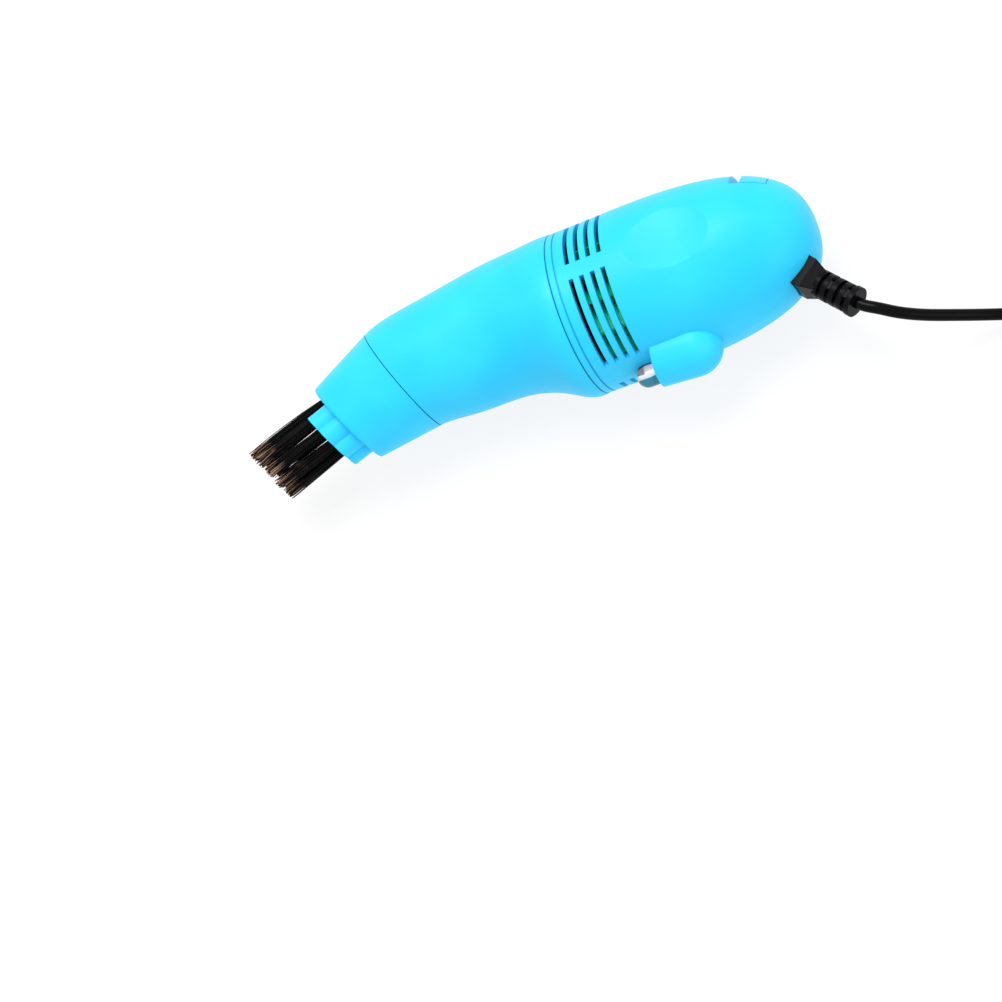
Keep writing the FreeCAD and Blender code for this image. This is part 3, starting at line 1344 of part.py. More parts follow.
def plug_contacts():
    """The four contacts on the tongue."""
    _, front = plug_ends()
    _, face = tongue_faces()
    end = front - 3 * TONGUE_SETBACK
    contacts = []
    for share in CONTACT_REACH_SHARES:
        y = share * SHELL_WIDTH / 2 - CONTACT_WIDTH / 2
        contacts.append(block(end - CONTACT_LENGTH, end, y, y + CONTACT_WIDTH, face, face + CONTACT_THICK))
    return plug_place(Part.makeCompound(contacts))


def wire_run(name, points):
    """One insulated wire along a route inside the housing."""
    return routed_tube(name, [Vector(*point) for point in points], WIRE_RADIUS)


def supply_entry(offset):
    """Where a supply wire leaves the inner face of the strain relief."""
    turn = math.radians(RELIEF_ANGLE)
    direction = Vector(math.cos(turn), math.sin(turn), 0)
    across = Vector(-direction.y, direction.x, 0)
    face = relief_origin() - direction * (RELIEF_NECK + RELIEF_FLANGE_THICK)
    return face + across * offset, direction * -1


def tab_end(side):
    """Where a wire meets one motor terminal."""
    return Vector(MOTOR_END_X + TAB_LENGTH + WIRE_RADIUS, side * (TAB_REACH + TAB_THICK / 2), 0)


def pin_end(index):
    """Where a wire meets one pin of the switch."""
    low = SWITCH_TOP - SWITCH_HEIGHT - PIN_LENGTH - WIRE_RADIUS
    return Vector(SWITCH_CENTRE_X + PIN_PITCH * index, low, 0)


def red_wires():
    """The red wires: from the cord to the switch, and from the switch to the motor."""
    across = Vector(0, 1, 0)
    start, inward = supply_entry(2 * WIRE_RADIUS)
    middle = pin_end(0)
    supply = [start, start + inward * WIRE_RUN, middle - across * 2 * WIRE_RUN, middle]
    front = pin_end(-1)
    tab = tab_end(1)
    turn = front - across * WIRE_RUN - AXIS * WIRE_RUN
    beside = tab + AXIS * WIRE_RUN * 4 / 3 - across * WIRE_RUN * 2
    load = [front, front - across * 2 * WIRE_RUN / 3, turn, beside, tab + AXIS * WIRE_RUN, tab]
    return Part.makeCompound([wire_run("red_supply", supply), wire_run("red_load", load)])


def black_wire():
    """The black wire from the cord to the motor."""
    start, inward = supply_entry(-2 * WIRE_RADIUS)
    tab = tab_end(-1)
    return wire_run("black_wire", [start, start + inward * WIRE_RUN, tab + AXIS * WIRE_RUN, tab])


def lamp_wires():
    """The two wires from the lamp's leads past the motor to its tabs."""
    leads = LAMP_FRONT_X + LAMP_WALL + 2 * SEAT_GAP + BULB_SEAT + LEAD_LENGTH + WIRE_RADIUS / 2
    beside = -MOTOR_RADIUS - 2 * WIRE_RADIUS
    behind = MOTOR_END_X + TAB_LENGTH + WIRE_RUN
    runs = []
    for side, y in zip((-1, 1), lead_places()):
        z = side * 3 * WIRE_RADIUS / 2
        points = [
            Vector(leads, y, 0),
            Vector(leads + WIRE_RUN, y, 0),
            Vector(leads + 2 * WIRE_RUN, -BULB_REACH + 2 * WIRE_RUN, z),
            Vector(leads + 3 * WIRE_RUN, beside, z),
            Vector(MOTOR_END_X + WIRE_RUN / 3, beside, z),
        ]
        if side < 0:
            points.append(tab_end(-1) + Vector(WIRE_RUN / 3, -WIRE_RUN, z))
            points.append(tab_end(-1) + Vector(0, -WIRE_RADIUS, z))
        else:
            points.append(Vector(behind, -TAB_REACH - WIRE_RUN, 2 * z))
            points.append(Vector(behind + WIRE_RUN, -TAB_REACH / 2, 4 * z))
            points.append(Vector(behind + WIRE_RUN, TAB_REACH, 4 * z))
            points.append(tab_end(1) + Vector(0, 2 * WIRE_RADIUS, z))
        runs.append(wire_run("lamp_wire", points))
    return Part.makeCompound(runs)


def build():
    """Every piece by its node's name, still about the housing's axis."""
    casing = plain_casing()
    return {
        "upper_shell": upper_shell(casing),
        "lower_shell": lower_shell(casing),
        "casing_screws": casing_screws(),
        "snout_shell": snout_shell(),
        "brush_head": head_shell(),
        "brush_tufts": brush_tufts(),
        "filter_frame": filter_frame(),
        "filter_cloth": filter_cloth(),
        "inlet_plate": inlet_plate(),
        "impeller": impeller(),
        "motor_bulkhead": motor_bulkhead(),
        "motor_screws": motor_screws(),
        "motor_can": motor_can(),
        "front_bush": bush(front_bush_place()),
        "rear_bush": bush(rear_bush_place()),
        "motor_magnets": motor_magnets(),
        "motor_end_cap": motor_end_cap(),
        "motor_terminals": motor_terminals(),
        "noise_capacitor": noise_capacitor(),
        "motor_shaft": motor_shaft(),
        "rotor_core": rotor_core(),
        "rotor_windings": rotor_windings(),
        "commutator": commutator(),
        "switch_slider": switch_slider(),
        "switch_lever": switch_lever(),
        "switch_body": switch_body(),
        "led_lens": led_lens(),
        "led_leads": led_leads(),
        "lamp_wires": lamp_wires(),
        "red_wires": red_wires(),
        "black_wire": black_wire(),
        "strain_relief": strain_relief(),
        "cord_lead": routed_tube("cord_lead", lead_points(), CORD_RADIUS),
        "cord_coil": cord_coil(),
        "cord_end": routed_tube("cord_end", end_points(), CORD_RADIUS),
        "plug_overmould": plug_overmould(),
        "plug_shell": plug_shell(),
        "plug_insulator": plug_insulator(),
        "plug_contacts": plug_contacts(),
    }


def standing_shift(pieces):
    """The move that centres the cleaner, without its cord, and stands it on Z = 0."""
    box = FreeCAD.BoundBox()
    for name, shape in pieces.items():
        if name not in CORD_NODES:
            box.add(shape.optimalBoundingBox(False, False))
    return Vector(-box.Center.x, -box.Center.y, BODY_RADIUS)


def main():
    """Build every piece and write it to its own file."""
    os.makedirs("parts", exist_ok=True)
    pieces = build()
    shift = standing_shift(pieces)
    print("shift", [round(value, 4) for value in shift])
    for name, shape in pieces.items():
        shape.translate(shift)
        shape.exportStep(os.path.join("parts", name + ".step"))
        volume = round(shape.Volume, 1)
        print(name, "solids", len(shape.Solids), "volume", volume, "valid", shape.isValid())


if __name__ == "__main__":
    main()
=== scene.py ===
"""Looks of a desktop mini vacuum cleaner with a brush head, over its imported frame.

Sizes are millimetres about the housing's axis: X runs from the nozzle to the tail, Y from the
lamp to the switch and Z up from the plane on which the two shells part. Only what is handed to
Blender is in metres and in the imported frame.
"""

import logging
import math
from dataclasses import dataclass
from enum import Enum
from typing import Any, ClassVar, Optional, Sequence, Union

import bmesh
import bpy
from mathutils import Matrix, Vector


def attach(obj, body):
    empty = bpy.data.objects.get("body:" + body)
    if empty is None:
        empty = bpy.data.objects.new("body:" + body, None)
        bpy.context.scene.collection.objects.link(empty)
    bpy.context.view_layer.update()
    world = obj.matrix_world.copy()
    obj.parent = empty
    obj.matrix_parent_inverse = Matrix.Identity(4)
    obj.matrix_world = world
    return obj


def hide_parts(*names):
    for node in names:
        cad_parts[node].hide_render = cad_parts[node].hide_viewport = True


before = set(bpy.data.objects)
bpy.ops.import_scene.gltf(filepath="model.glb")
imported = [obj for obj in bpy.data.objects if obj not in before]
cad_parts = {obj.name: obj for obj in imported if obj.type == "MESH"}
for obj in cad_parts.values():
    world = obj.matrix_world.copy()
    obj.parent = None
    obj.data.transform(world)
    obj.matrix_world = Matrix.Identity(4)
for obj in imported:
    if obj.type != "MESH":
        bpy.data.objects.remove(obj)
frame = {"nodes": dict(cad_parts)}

LOG = logging.getLogger("mini_vacuum")
MM = 0.001
SHIFT = Vector((14.7879, 3.6737, 25.0))
WHITE = (1.0, 1.0, 1.0, 1.0)
Number = Union[float, "Signal"]
Colour = tuple[float, float, float]
Place = tuple[float, float, float]
Sockets = dict[Union[str, int], Any]
Socket = bpy.types.NodeSocket
Node = bpy.types.Node
Material = bpy.types.Material
Piece = bpy.types.Object


class Body(Enum):
    """The moving bodies of the cleaner."""

    HOUSING = "housing"
    ROTOR = "rotor"
    SLIDER = "slider"
    SNOUT = "snout"
    NOZZLE = "nozzle"
    FILTER = "filter"


def metres(point: Sequence[float]) -> Vector:
    """Turn a place in the housing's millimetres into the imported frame's metres.

    Args:
        point: Place about the housing's axis.

    Returns:
        The same place in metres.
    """
    return (Vector(point) + SHIFT) * MM


def srgb(red: int, green: int, blue: int) -> Colour:
    """Turn a screen colour into a linear one.

    Args:
        red: Red from 0 to 255.
        green: Green from 0 to 255.
        blue: Blue from 0 to 255.

    Returns:
        Linear red, green and blue.
    """
    shares = [value / 255 for value in (red, green, blue)]
    return tuple(s / 12.92 if s <= 0.04045 else ((s + 0.055) / 1.055) ** 2.4 for s in shares)


class Signal:
    """A number socket that takes part in Python sums by adding Math nodes."""

    def __init__(self, tree: "Tree", socket: Socket) -> None:
        """Wrap a socket.

        Args:
            tree: The tree that the socket is in.
            socket: The output socket.
        """
        self.tree = tree
        self.socket = socket

    def apply(self, operation: str, *others: Number, first: bool = True) -> "Signal":
        """Add one Math node.

        Args:
            operation: Blender's name of the sum.
            others: The other terms.
            first: Whether this signal is the first term.

        Returns:
            The result.
        """
        terms = (self, *others) if first else (*others, self)
        node = self.tree.node("ShaderNodeMath", {"operation": operation}, dict(enumerate(terms)))
        return Signal(self.tree, node.outputs[0])

    def __add__(self, other: Number) -> "Signal":
        """Sum of two."""
        return self.apply("ADD", other)

    def __radd__(self, other: Number) -> "Signal":
        """Sum with this one last."""
        return self.apply("ADD", other, first=False)

    def __sub__(self, other: Number) -> "Signal":
        """Difference of two."""
        return self.apply("SUBTRACT", other)

    def __rsub__(self, other: Number) -> "Signal":
        """Difference with this one last."""
        return self.apply("SUBTRACT", other, first=False)

    def __mul__(self, other: Number) -> "Signal":
        """Product of two."""
        return self.apply("MULTIPLY", other)

    def __rmul__(self, other: Number) -> "Signal":
        """Product with this one last."""
        return self.apply("MULTIPLY", other, first=False)

    def __truediv__(self, other: Number) -> "Signal":
        """Quotient of two."""
        return self.apply("DIVIDE", other)

    def __abs__(self) -> "Signal":
        """Size without its sign."""
        return self.apply("ABSOLUTE")

    def sine(self) -> "Signal":
        """Sine of this signal."""
        return self.apply("SINE")

    def rising(self, low: float, high: float) -> "Signal":
        """A soft step from 0 at low to 1 at high.

        Args:
            low: Where the step starts.
            high: Where the step ends.

        Returns:
            The step.
        """
        settings = {"interpolation_type": "SMOOTHSTEP"}
        inputs = {"Value": self, "From Min": low, "From Max": high, "To Min": 0.0, "To Max": 1.0}
        return Signal(self.tree, self.tree.node("ShaderNodeMapRange", settings, inputs).outputs["Result"])


class Tree:
    """A node tree whose nodes all come from one method."""

    prefix = "ShaderNode"

    def __init__(self, tree: bpy.types.NodeTree) -> None:
        """Wrap a tree.

        Args:
            tree: The node tree to add to.
        """
        self.tree = tree

    def node(
        self,
        kind: str,
        settings: Optional[dict[str, Any]] = None,
        inputs: Optional[Sockets] = None,
    ) -> Node:
        """Add a node, set it up and then fill or link its sockets.

        Args:
            kind: Type of the node, without the tree's prefix.
            settings: Properties of the node; stops fills a colour ramp.
            inputs: Values, sockets or signals by the name or number of the input.

        Returns:
            The node.
        """
        whole = kind.startswith(("ShaderNode", "GeometryNode", "FunctionNode"))
        node = self.tree.nodes.new(kind if whole else self.prefix + kind)
        for name, value in (settings or {}).items():
            if name == "stops":
                self._fill_ramp(node.color_ramp, value)
            else:
                setattr(node, name, value)
        for key, value in (inputs or {}).items():
            socket = node.inputs[key]
            source = value.socket if isinstance(value, Signal) else value
            if isinstance(source, Socket):
                self.tree.links.new(source, socket)
            else:
                socket.default_value = source
        return node

    @staticmethod
    def _fill_ramp(ramp: bpy.types.ColorRamp, stops: Sequence[tuple[float, Colour]]) -> None:
        """Set the stops of a ramp.

        Args:
            ramp: The ramp.
            stops: Place and colour of each stop.
        """
        while len(ramp.elements) < len(stops):
            ramp.elements.new(1.0)
        for element, (place, colour) in zip(ramp.elements, stops):
            element.position = place
            element.color = (*colour, 1.0)


class Paint(Tree):
    """A material in the making, with the patterns that several finishes share.

    Attributes:
        octave: Share of each octave of noise in the next.
        bevel_rays: Rays that look for an edge to round.
    """

    octave: ClassVar[float] = 0.55
    bevel_rays: ClassVar[int] = 6

    def __init__(self, name: str) -> None:
        """Start an empty material.

        Args:
            name: Name of the material.
        """
        self.material = bpy.data.materials.new(name)
        self.material.use_nodes = True
        super().__init__(self.material.node_tree)
        self.tree.nodes.clear()
        self.place = self.node("TexCoord").outputs["Object"]

    def axes(self) -> tuple[Signal, Signal, Signal]:
        """Place on the piece in millimetres about the housing's axis.

        Returns:
            The place along X, Y and Z.
        """
        split = self.node("SeparateXYZ", inputs={0: self.place})
        parts = [Signal(self, split.outputs[index]) for index in range(3)]
        return tuple(part / MM - SHIFT[index] for index, part in enumerate(parts))

    def noise(
        self, size: float, detail: float = 3.0, stretch: Sequence[float] = (1, 1, 1), seed: float = 0.0
    ) -> Signal:
        """Cloudy noise.

        Args:
            size: Size of the clouds in millimetres.
            detail: Octaves of finer noise.
            stretch: How much longer the clouds are along each axis.
            seed: Offset that gives another pattern.

        Returns:
            The noise, from 0 to 1 about its middle.
        """
        scale = tuple(1 / length for length in stretch)
        inputs = {"Vector": self.place, "Location": (seed, seed, seed), "Scale": scale}
        place = self.node("Mapping", inputs=inputs).outputs[0]
        inputs = {"Vector": place, "Scale": 1 / (size * MM), "Detail": detail, "Roughness": self.octave}
        return Signal(self, self.node("TexNoise", inputs=inputs).outputs[0])

    def mixed(self, share: Number, first: Union[Colour, Socket], second: Union[Colour, Socket]) -> Socket:
        """Blend two colours.

        Args:
            share: How much of the second.
            first: First colour.
            second: Second colour.

        Returns:
            The blended colour's socket.
        """
        inputs: Sockets = {0: share}
        for key, value in ((6, first), (7, second)):
            inputs[key] = (*value, 1.0) if isinstance(value, tuple) else value
        return self.node("Mix", {"data_type": "RGBA"}, inputs).outputs[2]

    def bumped(
        self, height: Number, depth: float, strength: float = 1.0, rounding: float = 0.0
    ) -> Socket:
        """Turn a height into a normal.

        Args:
            height: Height from 0 to 1.
            depth: What a height of 1 stands for, in millimetres.
            strength: Share of the effect.
            rounding: Radius to which edges are rounded, in millimetres.

        Returns:
            The normal's socket.
        """
        inputs: Sockets = {"Height": height, "Distance": depth * MM, "Strength": strength}
        if rounding:
            edge = self.node("Bevel", {"samples": self.bevel_rays}, {"Radius": rounding * MM})
            inputs["Normal"] = edge.outputs[0]
        return self.node("Bump", inputs=inputs).outputs[0]

    def finished(self, colour: Socket, rough: Number, normal: Socket, **others: float) -> Material:
        """Close the material with its main shader.

        Args:
            colour: Its colour.
            rough: Its roughness.
            normal: Its normal.
            others: Its other sockets by name, with an underscore for each space.

        Returns:
            The material.
        """
        shader = {name.replace("_", " "): value for name, value in others.items()}
        shader |= {"Base Color": colour, "Roughness": rough, "Normal": normal}
        main = self.node("BsdfPrincipled", inputs=shader)
        self.node("OutputMaterial", inputs={"Surface": main.outputs[0]})
        return self.material


@dataclass(frozen=True)
class Finish:
    """A finish that is mixed once for all the pieces that have it.

    Attributes:
        name: Name of its material.
    """

    name: str

    def material(self) -> Material:
        """Its material, mixed the first time that it is asked for."""
        return bpy.data.materials.get(self.name) or self.mix(Paint(self.name))

    def mix(self, paint: Paint) -> Material:
        """Mix the material, which each kind of finish does in its own way."""
        raise NotImplementedError


@dataclass(frozen=True)
class MouldedPlastic(Finish):
    """Satin moulded plastic with a fine spark-eroded grain.

    Attributes:
        colour: Its colour.
        deep: Its colour where the plastic looks denser.
        roughness: Mean roughness.
        grain: Size of the grain.
        grain_depth: Depth of the grain.
        rounding: Radius to which the mould rounds its edges.
        joints: Places along X where dust and shade gather in a joint.
        cloud: Size of the broad clouds in its colour.
        flow: Size of the streaks that the flow in the mould leaves.
        scuff: Width of the scuffs.
        joint_shade: How strongly a joint is shaded.
        gloss: Specular level.
    """

    colour: Colour
    deep: Colour
    roughness: float = 0.42
    grain: float = 0.35
    grain_depth: float = 0.012
    rounding: float = 0.0
    joints: tuple[float, ...] = ()
    cloud: float = 28.0
    flow: float = 9.0
    scuff: float = 1.1
    joint_shade: float = 0.35
    gloss: float = 0.2

    def mix(self, paint: Paint) -> Material:
        """Mix the plastic.

        Args:
            paint: Its empty material.

        Returns:
            The material.
        """
        cloud = paint.noise(self.cloud, 2.0)
        flow = paint.noise(self.flow, 3.0, (3.0, 1.0, 1.0), 0.4)
        grain = paint.noise(self.grain, 2.0, seed=0.1)
        scuff = paint.noise(self.scuff, 4.0, (7.0, 1.0, 1.0), 0.7).rising(0.66, 0.8)
        share = (cloud * 0.7 + flow * 0.3).rising(0.3, 0.72)
        colour = paint.mixed(share, self.deep, self.colour)
        if self.joints:
            along, _, _ = paint.axes()
            shade: Number = 0.0
            for joint in self.joints:
                shade = (1 - abs(along - joint).rising(0.1, 0.55)) + shade
            dark = tuple(part * 0.55 for part in self.deep)
            colour = paint.mixed(shade * self.joint_shade, colour, dark)
        pale = tuple(min(1.0, part * 1.15 + 0.04) for part in self.colour)
        colour = paint.mixed(scuff * 0.12, colour, pale)
        rough = (self.roughness - 0.04) + grain * 0.1 + scuff * 0.1
        normal = paint.bumped(grain, self.grain_depth, 0.7, self.rounding)
        return paint.finished(colour, rough, normal, Specular_IOR_Level=self.gloss)


@dataclass(frozen=True)
class SoftVinyl(Finish):
    """Black vinyl of the cord, its relief and its plug.

    Attributes:
        colour: Its colour.
        bloom: The paler bloom that handling leaves on it.
        roughness: Mean roughness.
        ripple: Size of the unevenness of its skin.
        rounding: Radius to which edges are rounded.
        dust: Size of the spots of bloom.
        gloss: Specular level.
    """

    colour: Colour
    bloom: Colour
    roughness: float
    ripple: float
    rounding: float = 0.0
    dust: float = 2.2
    gloss: float = 0.07

    def mix(self, paint: Paint) -> Material:
        """Mix the vinyl.

        Args:
            paint: Its empty material.

        Returns:
            The material.
        """
        ripple = paint.noise(self.ripple, 3.0)
        dust = paint.noise(self.dust, 5.0, seed=0.3).rising(0.55, 0.8)
        colour = paint.mixed(dust * 0.5, self.colour, self.bloom)
        rough = (self.roughness - 0.05) + ripple * 0.12 + dust * 0.1
        normal = paint.bumped(ripple + paint.noise(0.25, 1.0) * 0.2, 0.05, 0.5, self.rounding)
        return paint.finished(colour, rough, normal, Specular_IOR_Level=self.gloss)


@dataclass(frozen=True)
class WorkedMetal(Finish):
    """Metal with drawing or turning lines.

    Attributes:
        colour: Its colour.
        dull: Its colour where it is tarnished.
        roughness: Mean roughness.
        lines: How much longer the lines are along each axis.
        line_size: Width of the lines.
        metallic: Share of metal in its look.
        stain: Size of the tarnished places.
    """

    colour: Colour
    dull: Colour
    roughness: float
    lines: tuple[float, float, float] = (1.0, 1.0, 1.0)
    line_size: float = 0.3
    metallic: float = 1.0
    stain: float = 5.0

    def mix(self, paint: Paint) -> Material:
        """Mix the metal.

        Args:
            paint: Its empty material.

        Returns:
            The material.
        """
        drawn = paint.noise(self.line_size, 2.0, self.lines)
        stain = paint.noise(self.stain, 4.0, seed=0.2).rising(0.45, 0.75)
        colour = paint.mixed(stain * 0.6, self.colour, self.dull)
        rough = (self.roughness - 0.06) + drawn * 0.12 + stain * 0.12
        return paint.finished(colour, rough, paint.bumped(drawn, 0.02, 0.6), Metallic=self.metallic)


@dataclass(frozen=True)
class WoundCopper(Finish):
    """Copper windings, turn beside turn.

    Attributes:
        colour: Colour of the enamelled wire.
        valley_shade: Painted shade between the turns.
        pitch: Distance from turn to turn.
        depth: Depth of the valleys.
        roughness: Roughness of the enamel.
        metallic: Share of metal in its look.
    """

    colour: Colour
    valley_shade: Colour
    pitch: float
    depth: float = 0.15
    roughness: float = 0.32
    metallic: float = 0.85

    def mix(self, paint: Paint) -> Material:
        """Mix the windings.

        Args:
            paint: Its empty material.

        Returns:
            The material.
        """
        _, across, up = paint.axes()
        reach = (across * across + up * up).apply("SQRT")
        turns = reach * (2 * math.pi / self.pitch) + paint.noise(3.0, 1.0) * 2.0
        wave = turns.sine() * 0.5 + 0.5
        # painted shade in the valleys between the turns
        colour = paint.mixed(wave, self.valley_shade, self.colour)
        normal = paint.bumped(wave, self.depth)
        return paint.finished(colour, self.roughness, normal, Metallic=self.metallic)


@dataclass(frozen=True)
class BristleFibre(Finish):
    """Drawn synthetic fibre, each strand in its own tone, with a painted highlight that grows paler
    towards its tip.

    Attributes:
        dark: Colour of most strands.
        tip_highlight: Colour of the painted highlight on the palest strands, towards their tips.
        foot: Middle of the face that the strands grow from.
        lean: Direction in which they grow, in degrees.
        reach: How far they reach.
        attribute: Name of the strands' tone.
        streak: Width of the streaks along a strand, which near the tips carry a painted highlight.
        gloss: Specular level.
    """

    dark: Colour
    tip_highlight: Colour
    foot: tuple[float, float] = (-79.379, -6.893)
    lean: float = 20.0
    reach: float = 29.0
    attribute: str = "strand_tone"
    streak: float = 0.6
    gloss: float = 0.08

    def mix(self, paint: Paint) -> Material:
        """Mix the fibre.

        Args:
            paint: Its empty material.

        Returns:
            The material.
        """
        tone = Signal(paint, paint.node("Attribute", {"attribute_name": self.attribute}).outputs["Fac"])
        streak = paint.noise(self.streak, 2.0, (8.0, 8.0, 8.0))
        along, across, _ = paint.axes()
        turn = math.radians(self.lean)
        out = (self.foot[0] - along) * math.cos(turn) + (self.foot[1] - across) * math.sin(turn)
        # painted highlight: the strands' colour moves towards the pale highlight colour further out
        # towards their tips
        highlight_share = (out / self.reach).rising(0.45, 0.97)
        middling = tuple(part * 1.4 for part in self.dark)
        ramp = {"stops": ((0.0, self.dark), (0.6, middling), (1.0, self.tip_highlight))}
        colour = paint.node("ValToRGB", ramp, {0: tone * (highlight_share * 0.8 + 0.2)}).outputs[0]
        # painted highlight in streaks along the strands near their tips
        colour = paint.mixed(streak.rising(0.55, 0.8) * highlight_share * 0.3, colour, self.tip_highlight)
        normal = paint.bumped(streak, 0.02, 0.4)
        return paint.finished(colour, 0.3 + streak * 0.2, normal, Specular_IOR_Level=self.gloss)


@dataclass(frozen=True)
class FilterWeave(Finish):
    """Thin woven filter cloth on its own flat map.

    Attributes:
        thread: Colour of the threads.
        gap_shade: Painted shade between the threads.
        dust: Colour of the dust that stays in it.
        threads: Threads from one edge of the map to the other.
        cloud: Size of the dusty places.
        roughness: Roughness of the threads.
    """

    thread: Colour
    gap_shade: Colour
    dust: Colour
    threads: float
    cloud: float = 6.0
    roughness: float = 0.9

    def mix(self, paint: Paint) -> Material:
        """Mix the cloth.

        Args:
            paint: Its empty material.

        Returns:
            The material.
        """
        split = paint.node("SeparateXYZ", inputs={0: paint.node("TexCoord").outputs["UV"]})
        warp, weft = (
            (Signal(paint, split.outputs[index]) * (math.pi * self.threads)).sine() for index in range(2)
        )
        weave = warp * warp * 0.5 + weft * weft * 0.5
        # painted shade in the gaps between the threads
        colour = paint.mixed(weave.rising(0.15, 0.6), self.gap_shade, self.thread)
        colour = paint.mixed(paint.noise(self.cloud, 4.0).rising(0.5, 0.75) * 0.45, colour, self.dust)
        return paint.finished(colour, self.roughness, paint.bumped(weave, 0.2, 0.8))


@dataclass(frozen=True)
class ClearEpoxy(Finish):
    """Clear cast epoxy of the lamp's bulb, with the colours of what stands in it and a painted refraction
    of the cyan plastic beside it.

    Attributes:
        tint: Its faint tint.
        painted_refraction: Painted refraction of the cyan plastic that shows through it on the lamp side.
        frame: The dark frame of the light chip near its tip.
        cup: The pale cup behind that.
        middle: Its axis, in X at the frame's rear end and in Y.
        roughness: Roughness of its skin.
        index: Its index of refraction.
        clear: Share of the light that goes through.
    """

    tint: Colour
    painted_refraction: Colour
    frame: Colour
    cup: Colour
    middle: tuple[float, float]
    roughness: float
    index: float = 1.52
    clear: float = 0.45

    def mix(self, paint: Paint) -> Material:
        """Mix the epoxy.

        Args:
            paint: Its empty material.

        Returns:
            The material.
        """
        wave = paint.noise(2.5, 1.0)
        along, across, up = paint.axes()
        side = (self.middle[1] - across) * 0.9 - up * 0.42 + wave * 0.4
        colour = paint.mixed((along - self.middle[0]).rising(-0.5, 0.3), self.frame, self.cup)
        colour = paint.mixed(side.rising(-0.75, -0.35), colour, self.tint)
        # painted refraction: the teal of the cyan plastic seen through the bulb, towards the lamp side
        # and below
        colour = paint.mixed(side.rising(0.45, 0.85), colour, self.painted_refraction)
        normal = paint.bumped(wave, 0.03, 0.3)
        return paint.finished(
            colour, self.roughness, normal, IOR=self.index, Transmission_Weight=self.clear
        )


CYAN = srgb(46, 204, 249)
CYAN_DEEP = srgb(34, 194, 244)
HOUSING_PLASTIC = MouldedPlastic("cyan_housing", CYAN, CYAN_DEEP, rounding=0.3, joints=(0.0, 2.2))
SNOUT_PLASTIC = MouldedPlastic("cyan_snout", CYAN, CYAN_DEEP, rounding=0.3, joints=(-0.1,))
HEAD_PLASTIC = MouldedPlastic("cyan_head", CYAN, CYAN_DEEP, rounding=0.3)
SLIDER_PLASTIC = MouldedPlastic("cyan_slider", CYAN, CYAN_DEEP, 0.36, rounding=0.2)
FAN_PLASTIC = MouldedPlastic("green_fan", srgb(56, 238, 158), srgb(34, 220, 134), 0.26, 0.8, 0.006, 0.15)
WHITE_PLASTIC = MouldedPlastic("white_nylon", srgb(232, 231, 224), srgb(218, 216, 206), 0.5)
BLACK_PLASTIC = MouldedPlastic("black_nylon", (0.012, 0.012, 0.014), (0.008, 0.008, 0.009), 0.45)
RELIEF_VINYL = SoftVinyl("relief_vinyl", (0.003, 0.0026, 0.0034), (0.010, 0.0085, 0.011), 0.3, 1.6, 0.45)
CORD_VINYL = SoftVinyl("cord_vinyl", (0.0016, 0.0016, 0.002), (0.006, 0.006, 0.007), 0.2, 3.0)
RED_SLEEVE = SoftVinyl("red_sleeve", srgb(196, 26, 22), srgb(170, 30, 26), 0.4, 2.0)
BLACK_SLEEVE = SoftVinyl("black_sleeve", (0.010, 0.010, 0.011), (0.03, 0.03, 0.03), 0.4, 2.0)
PALE_SLEEVE = SoftVinyl("pale_sleeve", srgb(226, 224, 214), srgb(206, 203, 192), 0.4, 2.0)
PLATED_STEEL = WorkedMetal("plated_steel", (0.66, 0.66, 0.68), (0.45, 0.45, 0.47), 0.26, (1.0, 6.0, 6.0))
DRAWN_STEEL = WorkedMetal("drawn_steel", (0.58, 0.58, 0.60), (0.36, 0.36, 0.38), 0.34, (12.0, 1.0, 1.0))
CORE_STEEL = WorkedMetal(
    "stacked_steel", (0.42, 0.42, 0.44), (0.2, 0.19, 0.19), 0.4, (0.7, 20.0, 20.0), 0.5
)
FERRITE = WorkedMetal("ferrite", (0.05, 0.05, 0.055), (0.03, 0.03, 0.03), 0.7, metallic=0.2)
BRONZE = WorkedMetal("sintered_bronze", (0.55, 0.33, 0.14), (0.3, 0.18, 0.08), 0.5)
COPPER = WorkedMetal("bare_copper", (0.8, 0.38, 0.22), (0.5, 0.24, 0.14), 0.3)
GILT = WorkedMetal("gilt_contact", (0.95, 0.68, 0.28), (0.8, 0.55, 0.22), 0.22)
BROWN_CERAMIC = MouldedPlastic("dipped_ceramic", srgb(196, 122, 44), srgb(176, 104, 34), 0.3)
# the second colour is painted shade between the turns
WINDING_WIRE = WoundCopper("winding_wire", (0.78, 0.34, 0.14), (0.2, 0.07, 0.03), 0.42)
# the second colour is the painted highlight towards the bristle tips
BRISTLE = BristleFibre("bristle_fibre", (0.003, 0.0028, 0.003), (0.5, 0.3, 0.2))
# the second colour is painted shade between the threads
FILTER_CLOTH = FilterWeave(
    "filter_weave", srgb(226, 226, 220), srgb(150, 150, 146), srgb(150, 140, 126), 110.0
)
BULB_EPOXY = ClearEpoxy(
    "bulb_epoxy",
    tint=(0.97, 0.96, 0.97),
    # painted refraction of the cyan plastic seen through the bulb
    painted_refraction=srgb(12, 132, 152),
    frame=srgb(140, 112, 112),
    cup=srgb(222, 206, 218),
    middle=(15.6, -27.55),
    roughness=0.05,
)


def linked(name: str, data: Any) -> Piece:
    """Put an object with its data into the scene.

    Args:
        name: Name of the object.
        data: Its mesh, curve, light or camera.

    Returns:
        The object.
    """
    thing = bpy.data.objects.new(name, data)
    bpy.context.scene.collection.objects.link(thing)
    return thing


